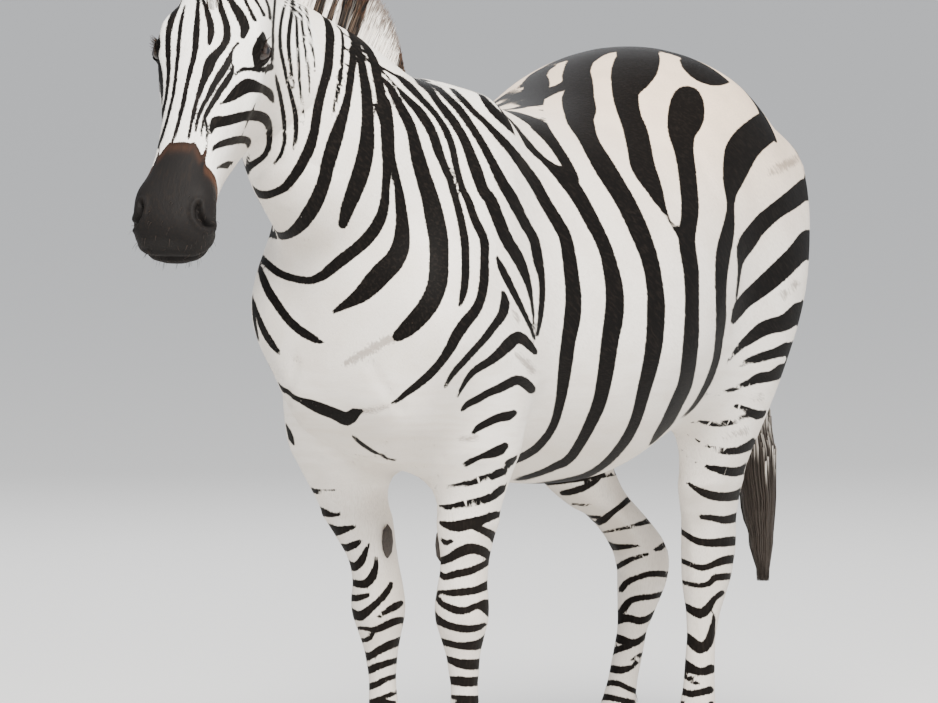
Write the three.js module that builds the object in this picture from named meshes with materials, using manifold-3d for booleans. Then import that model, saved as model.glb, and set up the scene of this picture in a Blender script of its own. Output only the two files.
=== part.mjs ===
// A plains zebra mare standing still, at life size, as a museum shows one. Millimetres, +Z up. She faces -Y,
// so her left side is at +X, and the floor is at z = 0. The whole body is one smooth form, made of lofted
// sections and muscles that run into each other. It is skinned ring by ring, and parted with thin cuts into
// the pieces that a person would name. Eyes, ears, mane, tail and hooves are pieces of their own.
import * as THREE from "three";
import { mergeVertices } from "three/addons/utils/BufferGeometryUtils.js";
import Module from "manifold-3d";

const wasm = await Module();
wasm.setup();

// ---- driving sizes ----
const GAP = 0.3; // between pieces that touch
const ORIGIN = { forward: 183, left: 0 }; // the middle of the model's footprint, from mid-barrel
const POLL = { forward: 850, left: -54, up: 1512 }; // the top of the head, between the ears
const HEAD_PITCH = 45; // degrees that the face slopes down
const HEAD_YAW = 17; // degrees that the head turns to her left
const NECK_ROOT = { forward: 470, left: 0, up: 1139 };
const NECK_PITCH = -41.5;
const NECK_YAW = -12.5; // the neck swings to her right
const EYE_RADIUS = 21;
const EAR_LENGTH = 168;
const MANE_THICKNESS = 34;
const CELLS = { head: 32, neck: 54, chest: 54, barrel: 70, rump: 56, limb: 38 }; // how coarsely each is skinned
const COLOURS = {
  coat: 0xd9d2c6,
  muzzle: 0x2a2523,
  mane: 0x3a312b,
  tail_hair: 0x1c1715,
  ear: 0xcfc7ba,
  eye: 0x120c08,
  hoof: 0x3b352f,
  chestnut: 0x2c2724,
};

const radians = THREE.MathUtils.degToRad;
const at = (forward, left, up) => new THREE.Vector3(left, -forward, up);

// ---- frames and sections ----

// A frame has an origin and three directions: along, out (towards the back or the front) and side (her left).
function frameOf(origin, pitch, yaw) {
  const along = at(Math.cos(radians(pitch)) * Math.cos(radians(yaw)),
    Math.cos(radians(pitch)) * Math.sin(radians(yaw)), -Math.sin(radians(pitch)));
  const side = at(-Math.sin(radians(yaw)), Math.cos(radians(yaw)), 0);
  const out = new THREE.Vector3().crossVectors(along, side);
  return { origin: at(origin.forward, origin.left, origin.up), along, out, side };
}
const BODY = { origin: at(0, 0, 0), along: at(1, 0, 0), out: at(0, 0, 1), side: at(0, 1, 0) };
const UPRIGHT = { origin: at(0, 0, 0), along: at(0, 0, 1), out: at(1, 0, 0), side: at(0, 1, 0) };
const HEAD = frameOf(POLL, HEAD_PITCH, HEAD_YAW);
const NECK = frameOf(NECK_ROOT, NECK_PITCH, NECK_YAW);

const inFrame = (frame, along, out, side) =>
  frame.origin.clone().addScaledVector(frame.along, along).addScaledVector(frame.out, out)
    .addScaledVector(frame.side, side);

// A smooth curve through rows [position, value, value, ...], in rising order of position.
function curveThrough(rows) {
  const slope = (i, c) => {
    const a = rows[Math.max(i - 1, 0)];
    const b = rows[Math.min(i + 1, rows.length - 1)];
    return (b[c] - a[c]) / (b[0] - a[0]);
  };
  return (x, c) => {
    let i = 0;
    while (i < rows.length - 2 && x > rows[i + 1][0]) i += 1;
    const [a, b] = [rows[i], rows[i + 1]];
    const span = b[0] - a[0];
    const t = THREE.MathUtils.clamp((x - a[0]) / span, 0, 1);
    const [t2, t3] = [t * t, t * t * t];
    return a[c] * (2 * t3 - 3 * t2 + 1) + b[c] * (3 * t2 - 2 * t3)
      + slope(i, c) * span * (t3 - 2 * t2 + t) + slope(i + 1, c) * span * (t3 - t2);
  };
}

// ---- the form, as signed distances in millimetres, negative inside ----

// A loft: rows are [along, outmost, widest, inmost, half width, share of the width at the inmost third, side].
// Each section is round above and below the height where it is widest.
function loft(frame, rows, roundness = 2.2) {
  const curve = curveThrough(rows);
  const [first, last] = [rows[0][0], rows[rows.length - 1][0]];
  return (p) => {
    const q = p.clone().sub(frame.origin);
    const along = q.dot(frame.along);
    const u = THREE.MathUtils.clamp(along, first, last);
    const out = q.dot(frame.out) - curve(u, 2);
    const side = Math.abs(q.dot(frame.side) - (rows[0].length > 6 ? curve(u, 6) : 0));
    const reach = out > 0 ? curve(u, 1) - curve(u, 2) : curve(u, 2) - curve(u, 3);
    const low = THREE.MathUtils.clamp(-out / Math.max(reach, 1), 0, 1);
    const width = curve(u, 4) * (1 - (1 - curve(u, 5)) * low);
    const k = Math.pow(Math.pow(side / Math.max(width, 1), roundness)
      + Math.pow(Math.abs(out) / Math.max(reach, 1), roundness), 1 / roundness);
    const across = Math.hypot(out, side) * (1 - 1 / Math.max(k, 0.05));
    const past = Math.abs(along - u);
    return past > 0 ? Math.hypot(Math.max(across, 0), past) : across;
  };
}

// A muscle or bone: an ellipsoid with its long axis turned by pitch in her side view.
function mass(frame, [along, out, side], [rAlong, rOut, rSide], pitch = 0) {
  const centre = inFrame(frame, along, out, side);
  const [c, s] = [Math.cos(radians(pitch)), Math.sin(radians(pitch))];
  const long = frame.along.clone().multiplyScalar(c).addScaledVector(frame.out, s);
  const thick = frame.out.clone().multiplyScalar(c).addScaledVector(frame.along, -s);
  return (p) => {
    const q = p.clone().sub(centre);
    const [a, o, w] = [q.dot(long), q.dot(thick), q.dot(frame.side)];
    const k0 = Math.hypot(a / rAlong, o / rOut, w / rSide);
    const k1 = Math.hypot(a / rAlong ** 2, o / rOut ** 2, w / rSide ** 2);
    return k1 < 1e-9 ? -Math.min(rAlong, rOut, rSide) : (k0 * (k0 - 1)) / k1;
  };
}

// Forms run together, each with the width of the fillet where it meets those before it.
function join(parts) {
  return (p) => parts.reduce((d, [part, soft]) => {
    const e = part(p);
    const h = Math.max(soft - Math.abs(d - e), 0) / soft;
    return Math.min(d, e) - (h * h * soft) / 4;
  }, 1e6);
}
const bothSides = (make) => [make(1), make(-1)];

// Trunk: [forward, top, widest height, bottom, half width, lower width share]
const trunkForm = loft(BODY, [
  [-742, 1110, 1075, 1030, 30, 1],
  [-720, 1162, 1080, 985, 96, 1],
  [-676, 1224, 1085, 935, 148, 0.95],
  [-606, 1290, 1070, 875, 184, 0.9],
  [-510, 1338, 1040, 800, 214, 0.85],
  [-410, 1359, 1005, 730, 238, 0.82],
  [-320, 1357, 965, 668, 262, 0.86],
  [-220, 1328, 935, 624, 284, 0.9],
  [-120, 1290, 918, 604, 296, 0.92],
  [-20, 1266, 915, 606, 294, 0.93],
  [80, 1264, 925, 622, 274, 0.92],
  [175, 1280, 945, 642, 248, 0.88],
  [260, 1304, 965, 655, 226, 0.82],
  [345, 1322, 975, 660, 214, 0.78],
  [430, 1280, 970, 668, 208, 0.78],
  [500, 1200, 950, 692, 198, 0.82],
  [560, 1115, 938, 744, 172, 0.86],
  [598, 1040, 930, 806, 124, 0.92],
  [616, 985, 928, 862, 56, 1],
], 2.15);

// Neck: [along, crest, widest, underside, half width, lower width share]
const neckForm = loft(NECK, [
  [-80, 226, 10, -232, 158, 0.95],
  [-20, 210, 10, -214, 156, 0.92],
  [40, 190, 8, -192, 152, 0.9],
  [130, 170, 6, -178, 144, 0.9],
  [200, 160, 0, -164, 127, 0.9],
  [262, 146, -4, -136, 108, 0.9],
  [330, 126, -2, -92, 90, 0.9],
  [400, 102, 2, -58, 76, 0.92],
  [470, 72, -4, -54, 62, 0.95],
  [530, 40, -10, -50, 42, 1],
], 2.1);

// Head: [along, face line, widest, underside, half width, lower width share]
const headForm = loft(HEAD, [
  [-22, -30, -55, -86, 30, 1],
  [5, 0, -55, -140, 60, 0.9],
  [50, 20, -52, -206, 76, 0.78],
  [105, 27, -44, -238, 86, 0.68],
  [150, 24, -36, -240, 88, 0.66],
  [200, 17, -36, -230, 80, 0.72],
  [255, 10, -42, -208, 67, 0.78],
  [310, 5, -46, -182, 58, 0.82],
  [370, 2, -50, -157, 54, 0.86],
  [425, 1, -54, -138, 58, 0.9],
  [465, -3, -56, -129, 63, 0.94],
  [500, -14, -60, -122, 62, 0.96],
  [525, -31, -66, -114, 52, 0.96],
  [541, -54, -78, -98, 30, 1],
], 2.4);

const headMasses = [
  // brow bones over the eyes, cheek bones, jaw muscles, nostril wings, lips and chin
  ...bothSides((s) => [mass(HEAD, [138, -6, s * 74], [44, 22, 23], -6), 22]),
  ...bothSides((s) => [mass(HEAD, [196, -60, s * 62], [72, 17, 20], -16), 26]),
  ...bothSides((s) => [mass(HEAD, [118, -142, s * 52], [92, 86, 28], -22), 30]),
  ...bothSides((s) => [mass(HEAD, [466, -38, s * 44], [36, 26, 22], -18), 20]),
  [mass(HEAD, [502, -70, 0], [42, 44, 62]), 26],
  [mass(HEAD, [480, -118, 0], [40, 20, 40], 6), 20],
];

// A foreleg: [up, front, widest, back, half width, share, left]. The widest place is the bone's line, and
// splay moves the top of the leg outwards.
const foreLeg = (side, splay) => loft({ ...UPRIGHT, side: at(0, side, 0) }, [
  [40, 424, 372, 318, 45, 1, 80],
  [66, 412, 364, 312, 43, 1, 80],
  [96, 390, 354, 306, 37, 1, 80],
  [130, 366, 338, 290, 32, 1, 80],
  [162, 357, 324, 276, 37, 1, 80],
  [192, 348, 320, 282, 32, 1, 80],
  [240, 346, 322, 290, 26, 1, 80],
  [320, 350, 325, 291, 25, 1, 81],
  [368, 363, 329, 288, 34, 1, 81],
  [408, 378, 334, 280, 47, 1, 82],
  [446, 382, 336, 280, 48, 1, 83],
  [486, 378, 336, 284, 41, 1, 85],
  [560, 390, 338, 280, 50 + splay * 0.2, 1, 94 + splay * 0.5],
  [640, 410, 344, 268, 66 + splay * 0.25, 1, 108 + splay],
  [720, 436, 352, 256, 76 + splay * 0.25, 1, 122 + splay],
  [800, 450, 360, 262, 72, 1, 128 + splay],
  [860, 440, 360, 290, 52, 1, 128 + splay],
], 2.15);

// A hind leg, from the coronet up to the thigh. lead moves each height forward, and drop lowers the hock.
const hindLeg = (side, { lead, drop }) => loft({ ...UPRIGHT, side: at(0, side, 0) }, [
  [40, -384, -436, -490, 45, 1, 80],
  [66, -396, -444, -494, 43, 1, 80],
  [96, -420, -458, -504, 37, 1, 80],
  [130, -450, -476, -520, 32, 1, 80],
  [162, -458, -484, -532, 37, 1, 80],
  [195, -464, -492, -532, 32, 1, 81],
  [255, -470, -498, -532, 27, 1, 82],
  [320, -474, -504, -538, 28, 1, 83],
  [360, -470, -508, -556, 35, 1, 84],
  [405, -462, -512, -578, 43, 1, 85],
  [445, -458, -514, -592, 44, 1, 86],
  [480, -446, -514, -606, 41, 1, 88],
  [525, -428, -506, -594, 41, 1, 94],
  [580, -400, -488, -582, 47, 1, 108],
  [660, -374, -482, -590, 62, 1, 126],
  [740, -352, -495, -622, 78, 1, 136],
  [830, -338, -510, -660, 94, 1, 140],
  [910, -345, -520, -690, 98, 1, 138],
  [980, -360, -520, -700, 90, 1, 132],
].map(([up, ...row]) => {
  const moved = row.map((value, i) => (i < 3 ? value + lead(up) : value));
  moved[2] -= lead(up) > 0 ? lead(up) * 0.25 * THREE.MathUtils.smoothstep(up, 500, 620) : 0;
  return [up - drop * Math.sin(Math.PI * THREE.MathUtils.clamp((up - 60) / 700, 0, 1)), ...moved];
}), 2.15);
const LEFT_HIND = { lead: () => 0, drop: 0 };
// the right one is bent: its foot and stifle are ahead of the left one's, and its hock is behind and lower
const rightLead = curveThrough([[40, 48], [110, 30], [185, 4], [300, -34], [440, -70], [510, -22], [590, 80],
  [680, 118], [770, 84], [880, 30], [980, 0]]);
const RIGHT_HIND = { lead: (up) => rightLead(up, 1), drop: 28 };

const muscles = [
  // shoulder blade, point of the shoulder, upper arm and breast
  ...bothSides((s) => [mass(BODY, [400, 1105, s * 134], [98, 205, 66], 14), 60]),
  ...bothSides((s) => [mass(BODY, [512, 945, s * 132], [82, 96, 74]), 60]),
  ...bothSides((s) => [mass(BODY, [372, 890, s * 150], [122, 122, 66], -20), 60]),
  ...bothSides((s) => [mass(BODY, [532, 830, s * 66], [70, 105, 66]), 50]),
  // hips, thighs, stifles and buttocks
  ...bothSides((s) => [mass(BODY, [-370, 1150, s * 118], [225, 158, 114], -6), 70]),
  ...bothSides((s) => [mass(BODY, [-530, 1010, s * 130], [165, 205, 106], -8), 70]),
  [mass(BODY, [-338, 850, 152], [92, 150, 74], 10), 60],
  [mass(BODY, [-300, 836, -152], [92, 150, 74], 16), 60],
  ...bothSides((s) => [mass(BODY, [-668, 1040, s * 112], [92, 172, 90], 12), 60]),
];

const upperBody = [[trunkForm, 1], ...muscles, [neckForm, 70], [headForm, 34], ...headMasses];
const legForms = [
  [foreLeg(1, 0), 46],
  [foreLeg(-1, 36), 46],
  [hindLeg(1, LEFT_HIND), 56],
  [hindLeg(-1, RIGHT_HIND), 56],
];
const form = join([...upperBody, ...legForms]);

// ---- skinning the form ----

// A closed solid from a geometry whose doubled points are merged. Its faces are turned to point out.
function solidOf(geometry) {
  const bare = geometry.clone();
  bare.deleteAttribute("normal");
  bare.deleteAttribute("uv");
  const merged = mergeVertices(bare, 1e-3);
  const make = (triVerts) => new wasm.Manifold(new wasm.Mesh({
    numProp: 3, vertProperties: merged.attributes.position.array, triVerts,
  }));
  const triVerts = new Uint32Array(merged.index.array);
  const made = make(triVerts);
  return made.volume() > 0 ? made : make(triVerts.reverse());
}

function solidOver(points, faces) {
  const geometry = new THREE.BufferGeometry().setFromPoints(points);
  geometry.setIndex(faces);
  return solidOf(geometry);
}

// Moves a point onto the surface, down or up the slope of the distance.
function ontoSurface(inside, p) {
  const reach = 1.5;
  for (let i = 0; i < 4; i += 1) {
    const depth = inside(p);
    const slope = new THREE.Vector3(...["x", "y", "z"].map((axis) => {
      const q = p.clone();
      q[axis] += reach;
      return (inside(q) - depth) / reach;
    }));
    const steep = Math.max(slope.lengthSq(), 0.2);
    p.addScaledVector(slope, -depth / steep);
  }
  return p;
}

// Skins all of a form between two corners. Each cell of a grid that the surface passes through holds one
// point, drawn onto the surface, and each edge of the grid that crosses the surface makes one face.
function overCells(inside, low, high, cell) {
  const size = [high.x - low.x, high.y - low.y, high.z - low.z].map((length) => Math.ceil(length / cell) + 1);
  const index = (n) => (n[2] * size[1] + n[1]) * size[0] + n[0];
  const place = (n) => new THREE.Vector3(low.x + n[0] * cell, low.y + n[1] * cell, low.z + n[2] * cell);
  const depth = new Float32Array(size[0] * size[1] * size[2]);
  const everyNode = (visit, less = 0) => {
    for (let k = 0; k < size[2] - less; k += 1) {
      for (let j = 0; j < size[1] - less; j += 1) {
        for (let i = 0; i < size[0] - less; i += 1) visit([i, j, k]);
      }
    }
  };
  everyNode((n) => {
    const onEdge = n.some((step, axis) => step === 0 || step === size[axis] - 1);
    depth[index(n)] = onEdge ? cell : inside(place(n));
  });
  const stepAlong = (n, axis, by) => n.map((step, i) => (i === axis ? step + by : step));
  const points = [];
  const pointOf = new Map();
  everyNode((n) => {
    const middle = new THREE.Vector3();
    let crossings = 0;
    for (let axis = 0; axis < 3; axis += 1) {
      const [u, v] = [(axis + 1) % 3, (axis + 2) % 3];
      for (let corner = 0; corner < 4; corner += 1) {
        const from = stepAlong(stepAlong(n, u, corner & 1), v, corner >> 1);
        const to = stepAlong(from, axis, 1);
        const [a, b] = [depth[index(from)], depth[index(to)]];
        if (a < 0 !== b < 0) {
          middle.add(place(from).lerp(place(to), a / (a - b)));
          crossings += 1;
        }
      }
    }
    if (crossings === 0) return;
    pointOf.set(index(n), points.length);
    points.push(ontoSurface(inside, middle.divideScalar(crossings)));
  }, 1);
  const faces = [];
  everyNode((n) => {
    for (let axis = 0; axis < 3; axis += 1) {
      const [u, v] = [(axis + 1) % 3, (axis + 2) % 3];
      if (n[u] === 0 || n[v] === 0 || n[axis] === size[axis] - 1) continue;
      const starts = depth[index(n)] < 0;
      if (starts === depth[index(stepAlong(n, axis, 1))] < 0) continue;
      const back = stepAlong(n, u, -1);
      const quad = [stepAlong(back, v, -1), stepAlong(n, v, -1), n, back].map((c) => pointOf.get(index(c)));
      if (!starts) quad.reverse();
      const [a, b, c, d] = quad;
      const shorter = points[a].distanceTo(points[c]) < points[b].distanceTo(points[d]);
      faces.push(...(shorter ? [a, b, c, a, c, d] : [a, b, d, b, c, d]));
    }
  });
  return solidOver(points, faces);
}

// How far a line goes from a point inside the form before it leaves it, up to a limit.
function leaves(inside, from, way, limit = 1000) {
  const step = 5;
  const p = new THREE.Vector3();
  let far = 0;
  while (far < limit && inside(p.copy(from).addScaledVector(way, far)) < 0) far += step;
  if (far >= limit) return limit;
  let [low, high] = [Math.max(far - step, 0), far];
  for (let i = 0; i < 14; i += 1) {
    const mid = (low + high) / 2;
    if (inside(p.copy(from).addScaledVector(way, mid)) < 0) low = mid;
    else high = mid;
  }
  return Math.max(low, 1);
}

// A closed solid over rings of points. Each ring is a list of the same length, and its middle closes an end.
function overRings(rings) {
  const count = rings[0].length;
  const points = rings.flat();
  const middle = (ring) => ring.reduce((sum, p) => sum.add(p), new THREE.Vector3()).divideScalar(count);
  points.push(middle(rings[0]), middle(rings[rings.length - 1]));
  const faces = [];
  for (let r = 0; r < rings.length - 1; r += 1) {
    for (let i = 0; i < count; i += 1) {
      const [a, b] = [r * count + i, r * count + ((i + 1) % count)];
      faces.push(a, b, b + count, a, b + count, a + count);
    }
  }
  for (let i = 0; i < count; i += 1) {
    const next = (i + 1) % count;
    const last = (rings.length - 1) * count;
    faces.push(points.length - 2, next, i, points.length - 1, last + i, last + next);
  }
  return solidOver(points, faces);
}

// Rings of points on the form, at these places along a frame, each round its own middle.
function overSections(inside, frame, places, segments, middle, limit = 1000) {
  return overRings(places.map((along) => {
    const [out, side] = middle(along);
    const from = inFrame(frame, along, out, side);
    return Array.from({ length: segments }, (_, i) => {
      const turn = (2 * Math.PI * i) / segments;
      const way = frame.out.clone().multiplyScalar(Math.cos(turn)).addScaledVector(frame.side, Math.sin(turn));
      return from.clone().addScaledVector(way, leaves(inside, from, way, limit));
    });
  }));
}

const steps = (from, to, count) => Array.from({ length: count + 1 }, (_, i) => from + ((to - from) * i) / count);

// ---- cuts ----

// A cut is one plane, or several that bound one region together. Its normals point away from the trunk.
const planeAt = (point, normal) => [{ point, normal: normal.normalize() }];
const flip = ([{ point, normal }]) => planeAt(point, normal.clone().negate());
const cutOff = (solid, cut) => solid.subtract(beyond(cut));

// Everything beyond a cut, from very large boxes that start half a gap before its planes.
function beyond(cut) {
  const size = 4000;
  return cut.map(({ point, normal }) => {
    const box = new THREE.BoxGeometry(size, size, size).translate(0, 0, size / 2 - GAP / 2);
    const turn = new THREE.Quaternion().setFromUnitVectors(new THREE.Vector3(0, 0, 1), normal);
    return solidOf(box.applyQuaternion(turn).translate(point.x, point.y, point.z));
  }).reduce((region, half) => region.intersect(half));
}

// The form without what is beyond a cut, save for a little past it.
const within = (inside, cut, past) => {
  const offsets = cut.map(({ point, normal }) => point.dot(normal) + past);
  return (p) => Math.max(inside(p), Math.min(...cut.map(({ normal }, i) => p.dot(normal) - offsets[i])));
};

// The head is parted from the neck behind its jaw and under its throat.
const NECK_CUT = planeAt(at(602, 0, 960), at(0.86, 0, 0.511));
const JAW_CUT = planeAt(inFrame(HEAD, -12, 0, 0), HEAD.along.clone().addScaledVector(HEAD.out, 0.32));
const THROAT_CUT = planeAt(inFrame(HEAD, 100, -247, 0), HEAD.out.clone());
const HEAD_CUT = [...JAW_CUT, ...THROAT_CUT];
const MUZZLE_CUT = planeAt(inFrame(HEAD, 366, 0, 0), HEAD.along.clone().addScaledVector(HEAD.out, -0.25));
const CHEST_CUT = planeAt(at(200, 0, 900), at(1, 0, 0));
const RUMP_CUT = planeAt(at(-200, 0, 900), at(-1, 0, 0));
const FORE_CUT = planeAt(at(0, 0, 632), at(0, 0, -1));
const HIND_CUT = planeAt(at(-300, 0, 632), at(-0.5, 0, -1));

// A piece of the body between two corners, [back, right, bottom] and [front, left, top], and some cuts.
function flesh([back, right, bottom], [front, left, top], cell, cuts) {
  const past = cell * 1.3;
  const kept = cuts.reduce((inside, cut) => within(inside, cut, past), form);
  const onGrid = (value) => Math.floor(value / cell) * cell;
  const low = at(onGrid(front) + cell, onGrid(right), onGrid(bottom));
  const high = at(onGrid(back), onGrid(left) + cell, onGrid(top) + cell);
  return cuts.reduce(cutOff, overCells(kept, low, high, cell));
}

// ---- the pieces ----
const zebra = new THREE.Group();
const materials = Object.fromEntries(Object.entries(COLOURS).map(([name, colour]) => [
  name,
  new THREE.MeshStandardMaterial({ color: colour, roughness: name === "eye" ? 0.08 : 0.8, metalness: 0 }),
]));

function add(name, solid, material) {
  const { vertProperties, triVerts, numProp } = solid.getMesh();
  const geometry = new THREE.BufferGeometry();
  const points = new Float32Array((vertProperties.length / numProp) * 3);
  for (let i = 0; i < points.length / 3; i += 1) {
    points.set(vertProperties.subarray(i * numProp, i * numProp + 3), i * 3);
  }
  geometry.setAttribute("position", new THREE.BufferAttribute(points, 3));
  geometry.setIndex(new THREE.BufferAttribute(triVerts, 1));
  geometry.computeVertexNormals();
  const mesh = new THREE.Mesh(geometry, materials[material]);
  mesh.name = name;
  zebra.add(mesh);
}

const ball = (centre, radii, wide, high) => solidOf(new THREE.SphereGeometry(1, wide, high)
  .scale(radii.x, radii.y, radii.z).translate(centre.x, centre.y, centre.z));
const evenly = (radius) => new THREE.Vector3(radius, radius, radius);

// Mane: an upright crest of hair from the forelock over the poll and down the neck to the withers. Its foot is
// sunk a little into the skin. Rows are places on the crest, with the hair's height and half thickness.
function mane(grow = 0) {
  const sink = 8;
  const height = curveThrough([[82, 8], [108, 32], [140, 62], [190, 86], [260, 98], [350, 103], [430, 94],
    [500, 76], [545, 58], [590, 38], [620, 16]]);
  const half = curveThrough([[82, 0.3], [120, 0.8], [180, 1], [440, 1], [560, 0.9], [620, 0.5]]);
  const onNeck = steps(82, 440, 9).map((along) => {
    const from = inFrame(NECK, along, 0, 0);
    return { along, foot: from.addScaledVector(NECK.out, leaves(form, from, NECK.out)), way: NECK.out };
  });
  const overPoll = [[500, -4, 0.25], [545, 34, 0.62], [585, 70, 0.9], [618, 100, 1]].map(([along, down, turned]) => {
    const from = inFrame(HEAD, down, -60, 0);
    const way = NECK.out.clone().lerp(HEAD.out, turned).normalize();
    return { along, foot: from.addScaledVector(way, leaves(form, from, way)), way };
  });
  return overRings([...onNeck, ...overPoll].map(({ along, foot, way }) => {
    const [tall, wide] = [height(along, 1), (half(along, 1) * MANE_THICKNESS) / 2];
    const section = [[-sink, 1], [tall * 0.35, 1], [tall * 0.8, 0.76], [tall, 0.3]];
    const side = [...section, ...section.map(([up, share]) => [up, -share]).reverse()];
    return side.map(([up, share]) => foot.clone().addScaledVector(way, up + (up > 0 ? grow : -grow))
      .addScaledVector(NECK.side, share * wide + Math.sign(share) * grow));
  }));
}

// Ear: a pointed shell of skin, open to the front and outside, on a solid root sunk into the skull.
// Rows are [height, half width, depth behind, depth in front, degrees that the edges curl inwards].
function ear(s, grow = 0) {
  const rows = [
    [-16, 21, 18, 18, 0],
    [10, 24, 20, 19, 0],
    [30, 30, 24, 6, 4],
    [52, 36, 26, -16, 22],
    [84, 39, 26, -18.5, 26],
    [114, 36, 22, -15.5, 24],
    [138, 28, 16, -10.5, 18],
    [156, 17, 10, -6, 8],
    [EAR_LENGTH, 5, 5, -1, 0],
  ];
  const forward = at(1, Math.tan(radians(HEAD_YAW)), 0).normalize();
  const axis = at(0, 0, 1).addScaledVector(forward, 0.16).addScaledVector(HEAD.side, s * 0.34).normalize();
  const mouth = forward.clone().addScaledVector(HEAD.side, s * 0.75);
  mouth.addScaledVector(axis, -mouth.dot(axis)).normalize();
  const across = new THREE.Vector3().crossVectors(axis, mouth);
  const root = inFrame(HEAD, 22, -6, s * 50);
  return overRings(rows.map(([height, half, back, front, curl]) => {
    const place = (turn, wide, deep) => root.clone().addScaledVector(axis, height)
      .addScaledVector(across, wide * Math.cos(turn)).addScaledVector(mouth, deep * Math.sin(turn));
    const [first, last] = [-radians(curl), Math.PI + radians(curl)];
    const outside = steps(first, last, 6).map((turn) => place(turn, half + grow, -back - grow));
    const hollow = steps(last, first, 6).slice(1, -1).map((turn) => place(turn, half * 0.86 + grow, front + grow));
    return [...outside, ...hollow];
  }));
}

// Tail: a skinned dock that hangs from the croup between the buttocks, then a long brush of hair. Rows are
// [forward, left, up, radius] down its middle. The brush starts where the dock is cut.
const TAIL = [
  [-686, 0, 1206, 24], [-720, 0, 1192, 25], [-750, 2, 1158, 25], [-771, 4, 1110, 24], [-783, 8, 1050, 22.5],
  [-788, 12, 980, 21], [-786, 18, 900, 20], [-780, 24, 820, 20], [-774, 30, 740, 22],
];
const BRUSH = [
  [-775, 29, 752, 22], [-772, 34, 705, 31], [-774, 38, 650, 40], [-780, 42, 580, 44], [-788, 44, 510, 42],
  [-795, 46, 450, 33], [-801, 47, 400, 20], [-805, 48, 366, 5],
];
function tube(rows, grow = 0, segments = 10) {
  const centres = rows.map(([forward, left, up]) => at(forward, left, up));
  return overRings(rows.map(([, , , radius], r) => {
    const ahead = centres[Math.min(r + 1, rows.length - 1)].clone().sub(centres[Math.max(r - 1, 0)]).normalize();
    const side = at(0, 1, 0).addScaledVector(ahead, -ahead.dot(at(0, 1, 0))).normalize();
    const rear = new THREE.Vector3().crossVectors(ahead, side);
    return Array.from({ length: segments }, (_, i) => {
      const turn = (2 * Math.PI * i) / segments;
      return centres[r].clone().addScaledVector(side, (radius + grow) * Math.cos(turn))
        .addScaledVector(rear, (radius + grow) * Math.sin(turn));
    });
  }));
}

// Hoof: a cone of horn, longer at the toe, flat on the floor. It is cut off where the pastern starts.
function hoof({ forward, left }) {
  const segments = 14;
  const rows = [[0, 0, 58, 42, 44], [6, -1, 59, 43, 45.5], [90, -34, 42, 37, 39.5]];
  return overRings(rows.map(([up, shift, toe, heel, half]) => Array.from({ length: segments }, (_, i) => {
    const turn = (2 * Math.PI * i) / segments;
    const ahead = Math.cos(turn);
    return at(forward + shift + ahead * (ahead > 0 ? toe : heel), left + half * Math.sin(turn), up);
  })));
}

// Eyes: each stands a little out of the skull, on the side of the head.
const EYE_ALONG = 150;
const EYE_OUT = -27;
const EYE_SHOWS = 8;
const eyes = [1, -1].map((s) => {
  const middle = inFrame(HEAD, EYE_ALONG, EYE_OUT, 0);
  const way = HEAD.side.clone().multiplyScalar(s);
  return middle.addScaledVector(way, leaves(form, middle, way) + EYE_SHOWS - EYE_RADIUS);
});
eyes.forEach((eye, i) => add(i === 0 ? "eye_left" : "eye_right", ball(eye, evenly(EYE_RADIUS), 10, 8), "eye"));
add("ear_left", ear(1), "ear");
add("ear_right", ear(-1), "ear");
add("mane", mane(), "mane");

// Head, muzzle, neck and trunk. What is set into them has a hole of its own shape and a gap more.
const maneSlot = mane(GAP);
const headHoles = [...eyes.map((eye) => ball(eye, evenly(EYE_RADIUS + GAP), 10, 8)), ear(1, GAP), ear(-1, GAP),
  maneSlot];
const head = flesh([640, -320, 1060], [1240, 260, 1660], CELLS.head,
  [flip(JAW_CUT), flip(THROAT_CUT), MUZZLE_CUT]);
add("head", headHoles.reduce((solid, hole) => solid.subtract(hole), head), "coat");
const muzzlePlaces = [326, ...steps(352, 430, 3), ...steps(450, 514, 3), 528, 537];
const muzzleMiddle = curveThrough([[326, -70], [430, -62], [541, -78]]);
add("muzzle", cutOff(overSections(form, HEAD, muzzlePlaces, 22, (along) => [muzzleMiddle(along, 1), 0]),
  flip(MUZZLE_CUT)), "muzzle");
add("neck", flesh([300, -300, 760], [1010, 260, 1640], CELLS.neck, [flip(NECK_CUT), HEAD_CUT])
  .subtract(maneSlot), "coat");
add("chest", flesh([130, -340, 560], [700, 340, 1420], CELLS.chest, [NECK_CUT, flip(CHEST_CUT), FORE_CUT])
  .subtract(maneSlot), "coat");
add("barrel", flesh([-360, -400, 480], [360, 400, 1460], CELLS.barrel, [CHEST_CUT, RUMP_CUT]), "coat");
add("rump", flesh([-840, -360, 540], [-130, 360, 1440], CELLS.rump, [flip(RUMP_CUT), HIND_CUT])
  .subtract(tube(TAIL, GAP)), "coat");

// Tail
const BRUSH_CUT = planeAt(at(-775, 31, 742), at(0, 0.08, -1));
add("tail_dock", cutOff(tube(TAIL), BRUSH_CUT), "coat");
add("tail_brush", cutOff(tube(BRUSH), flip(BRUSH_CUT)), "tail_hair");

// Legs. Each is parted at these heights, then stands on its hoof.
// A foreleg has a chestnut, a bare oval callus, on its inner side above the knee.
const CHESTNUT = { forward: 345, up: 540, radii: new THREE.Vector3(9, 12, 30) };
function chestnutOn(side, grow = 0) {
  const middle = at(CHESTNUT.forward, side * 92, CHESTNUT.up);
  const way = at(0, -side, 0);
  middle.addScaledVector(way, leaves(form, middle, way) - 4);
  return ball(middle, CHESTNUT.radii.clone().addScalar(grow), 8, 6);
}

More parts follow.
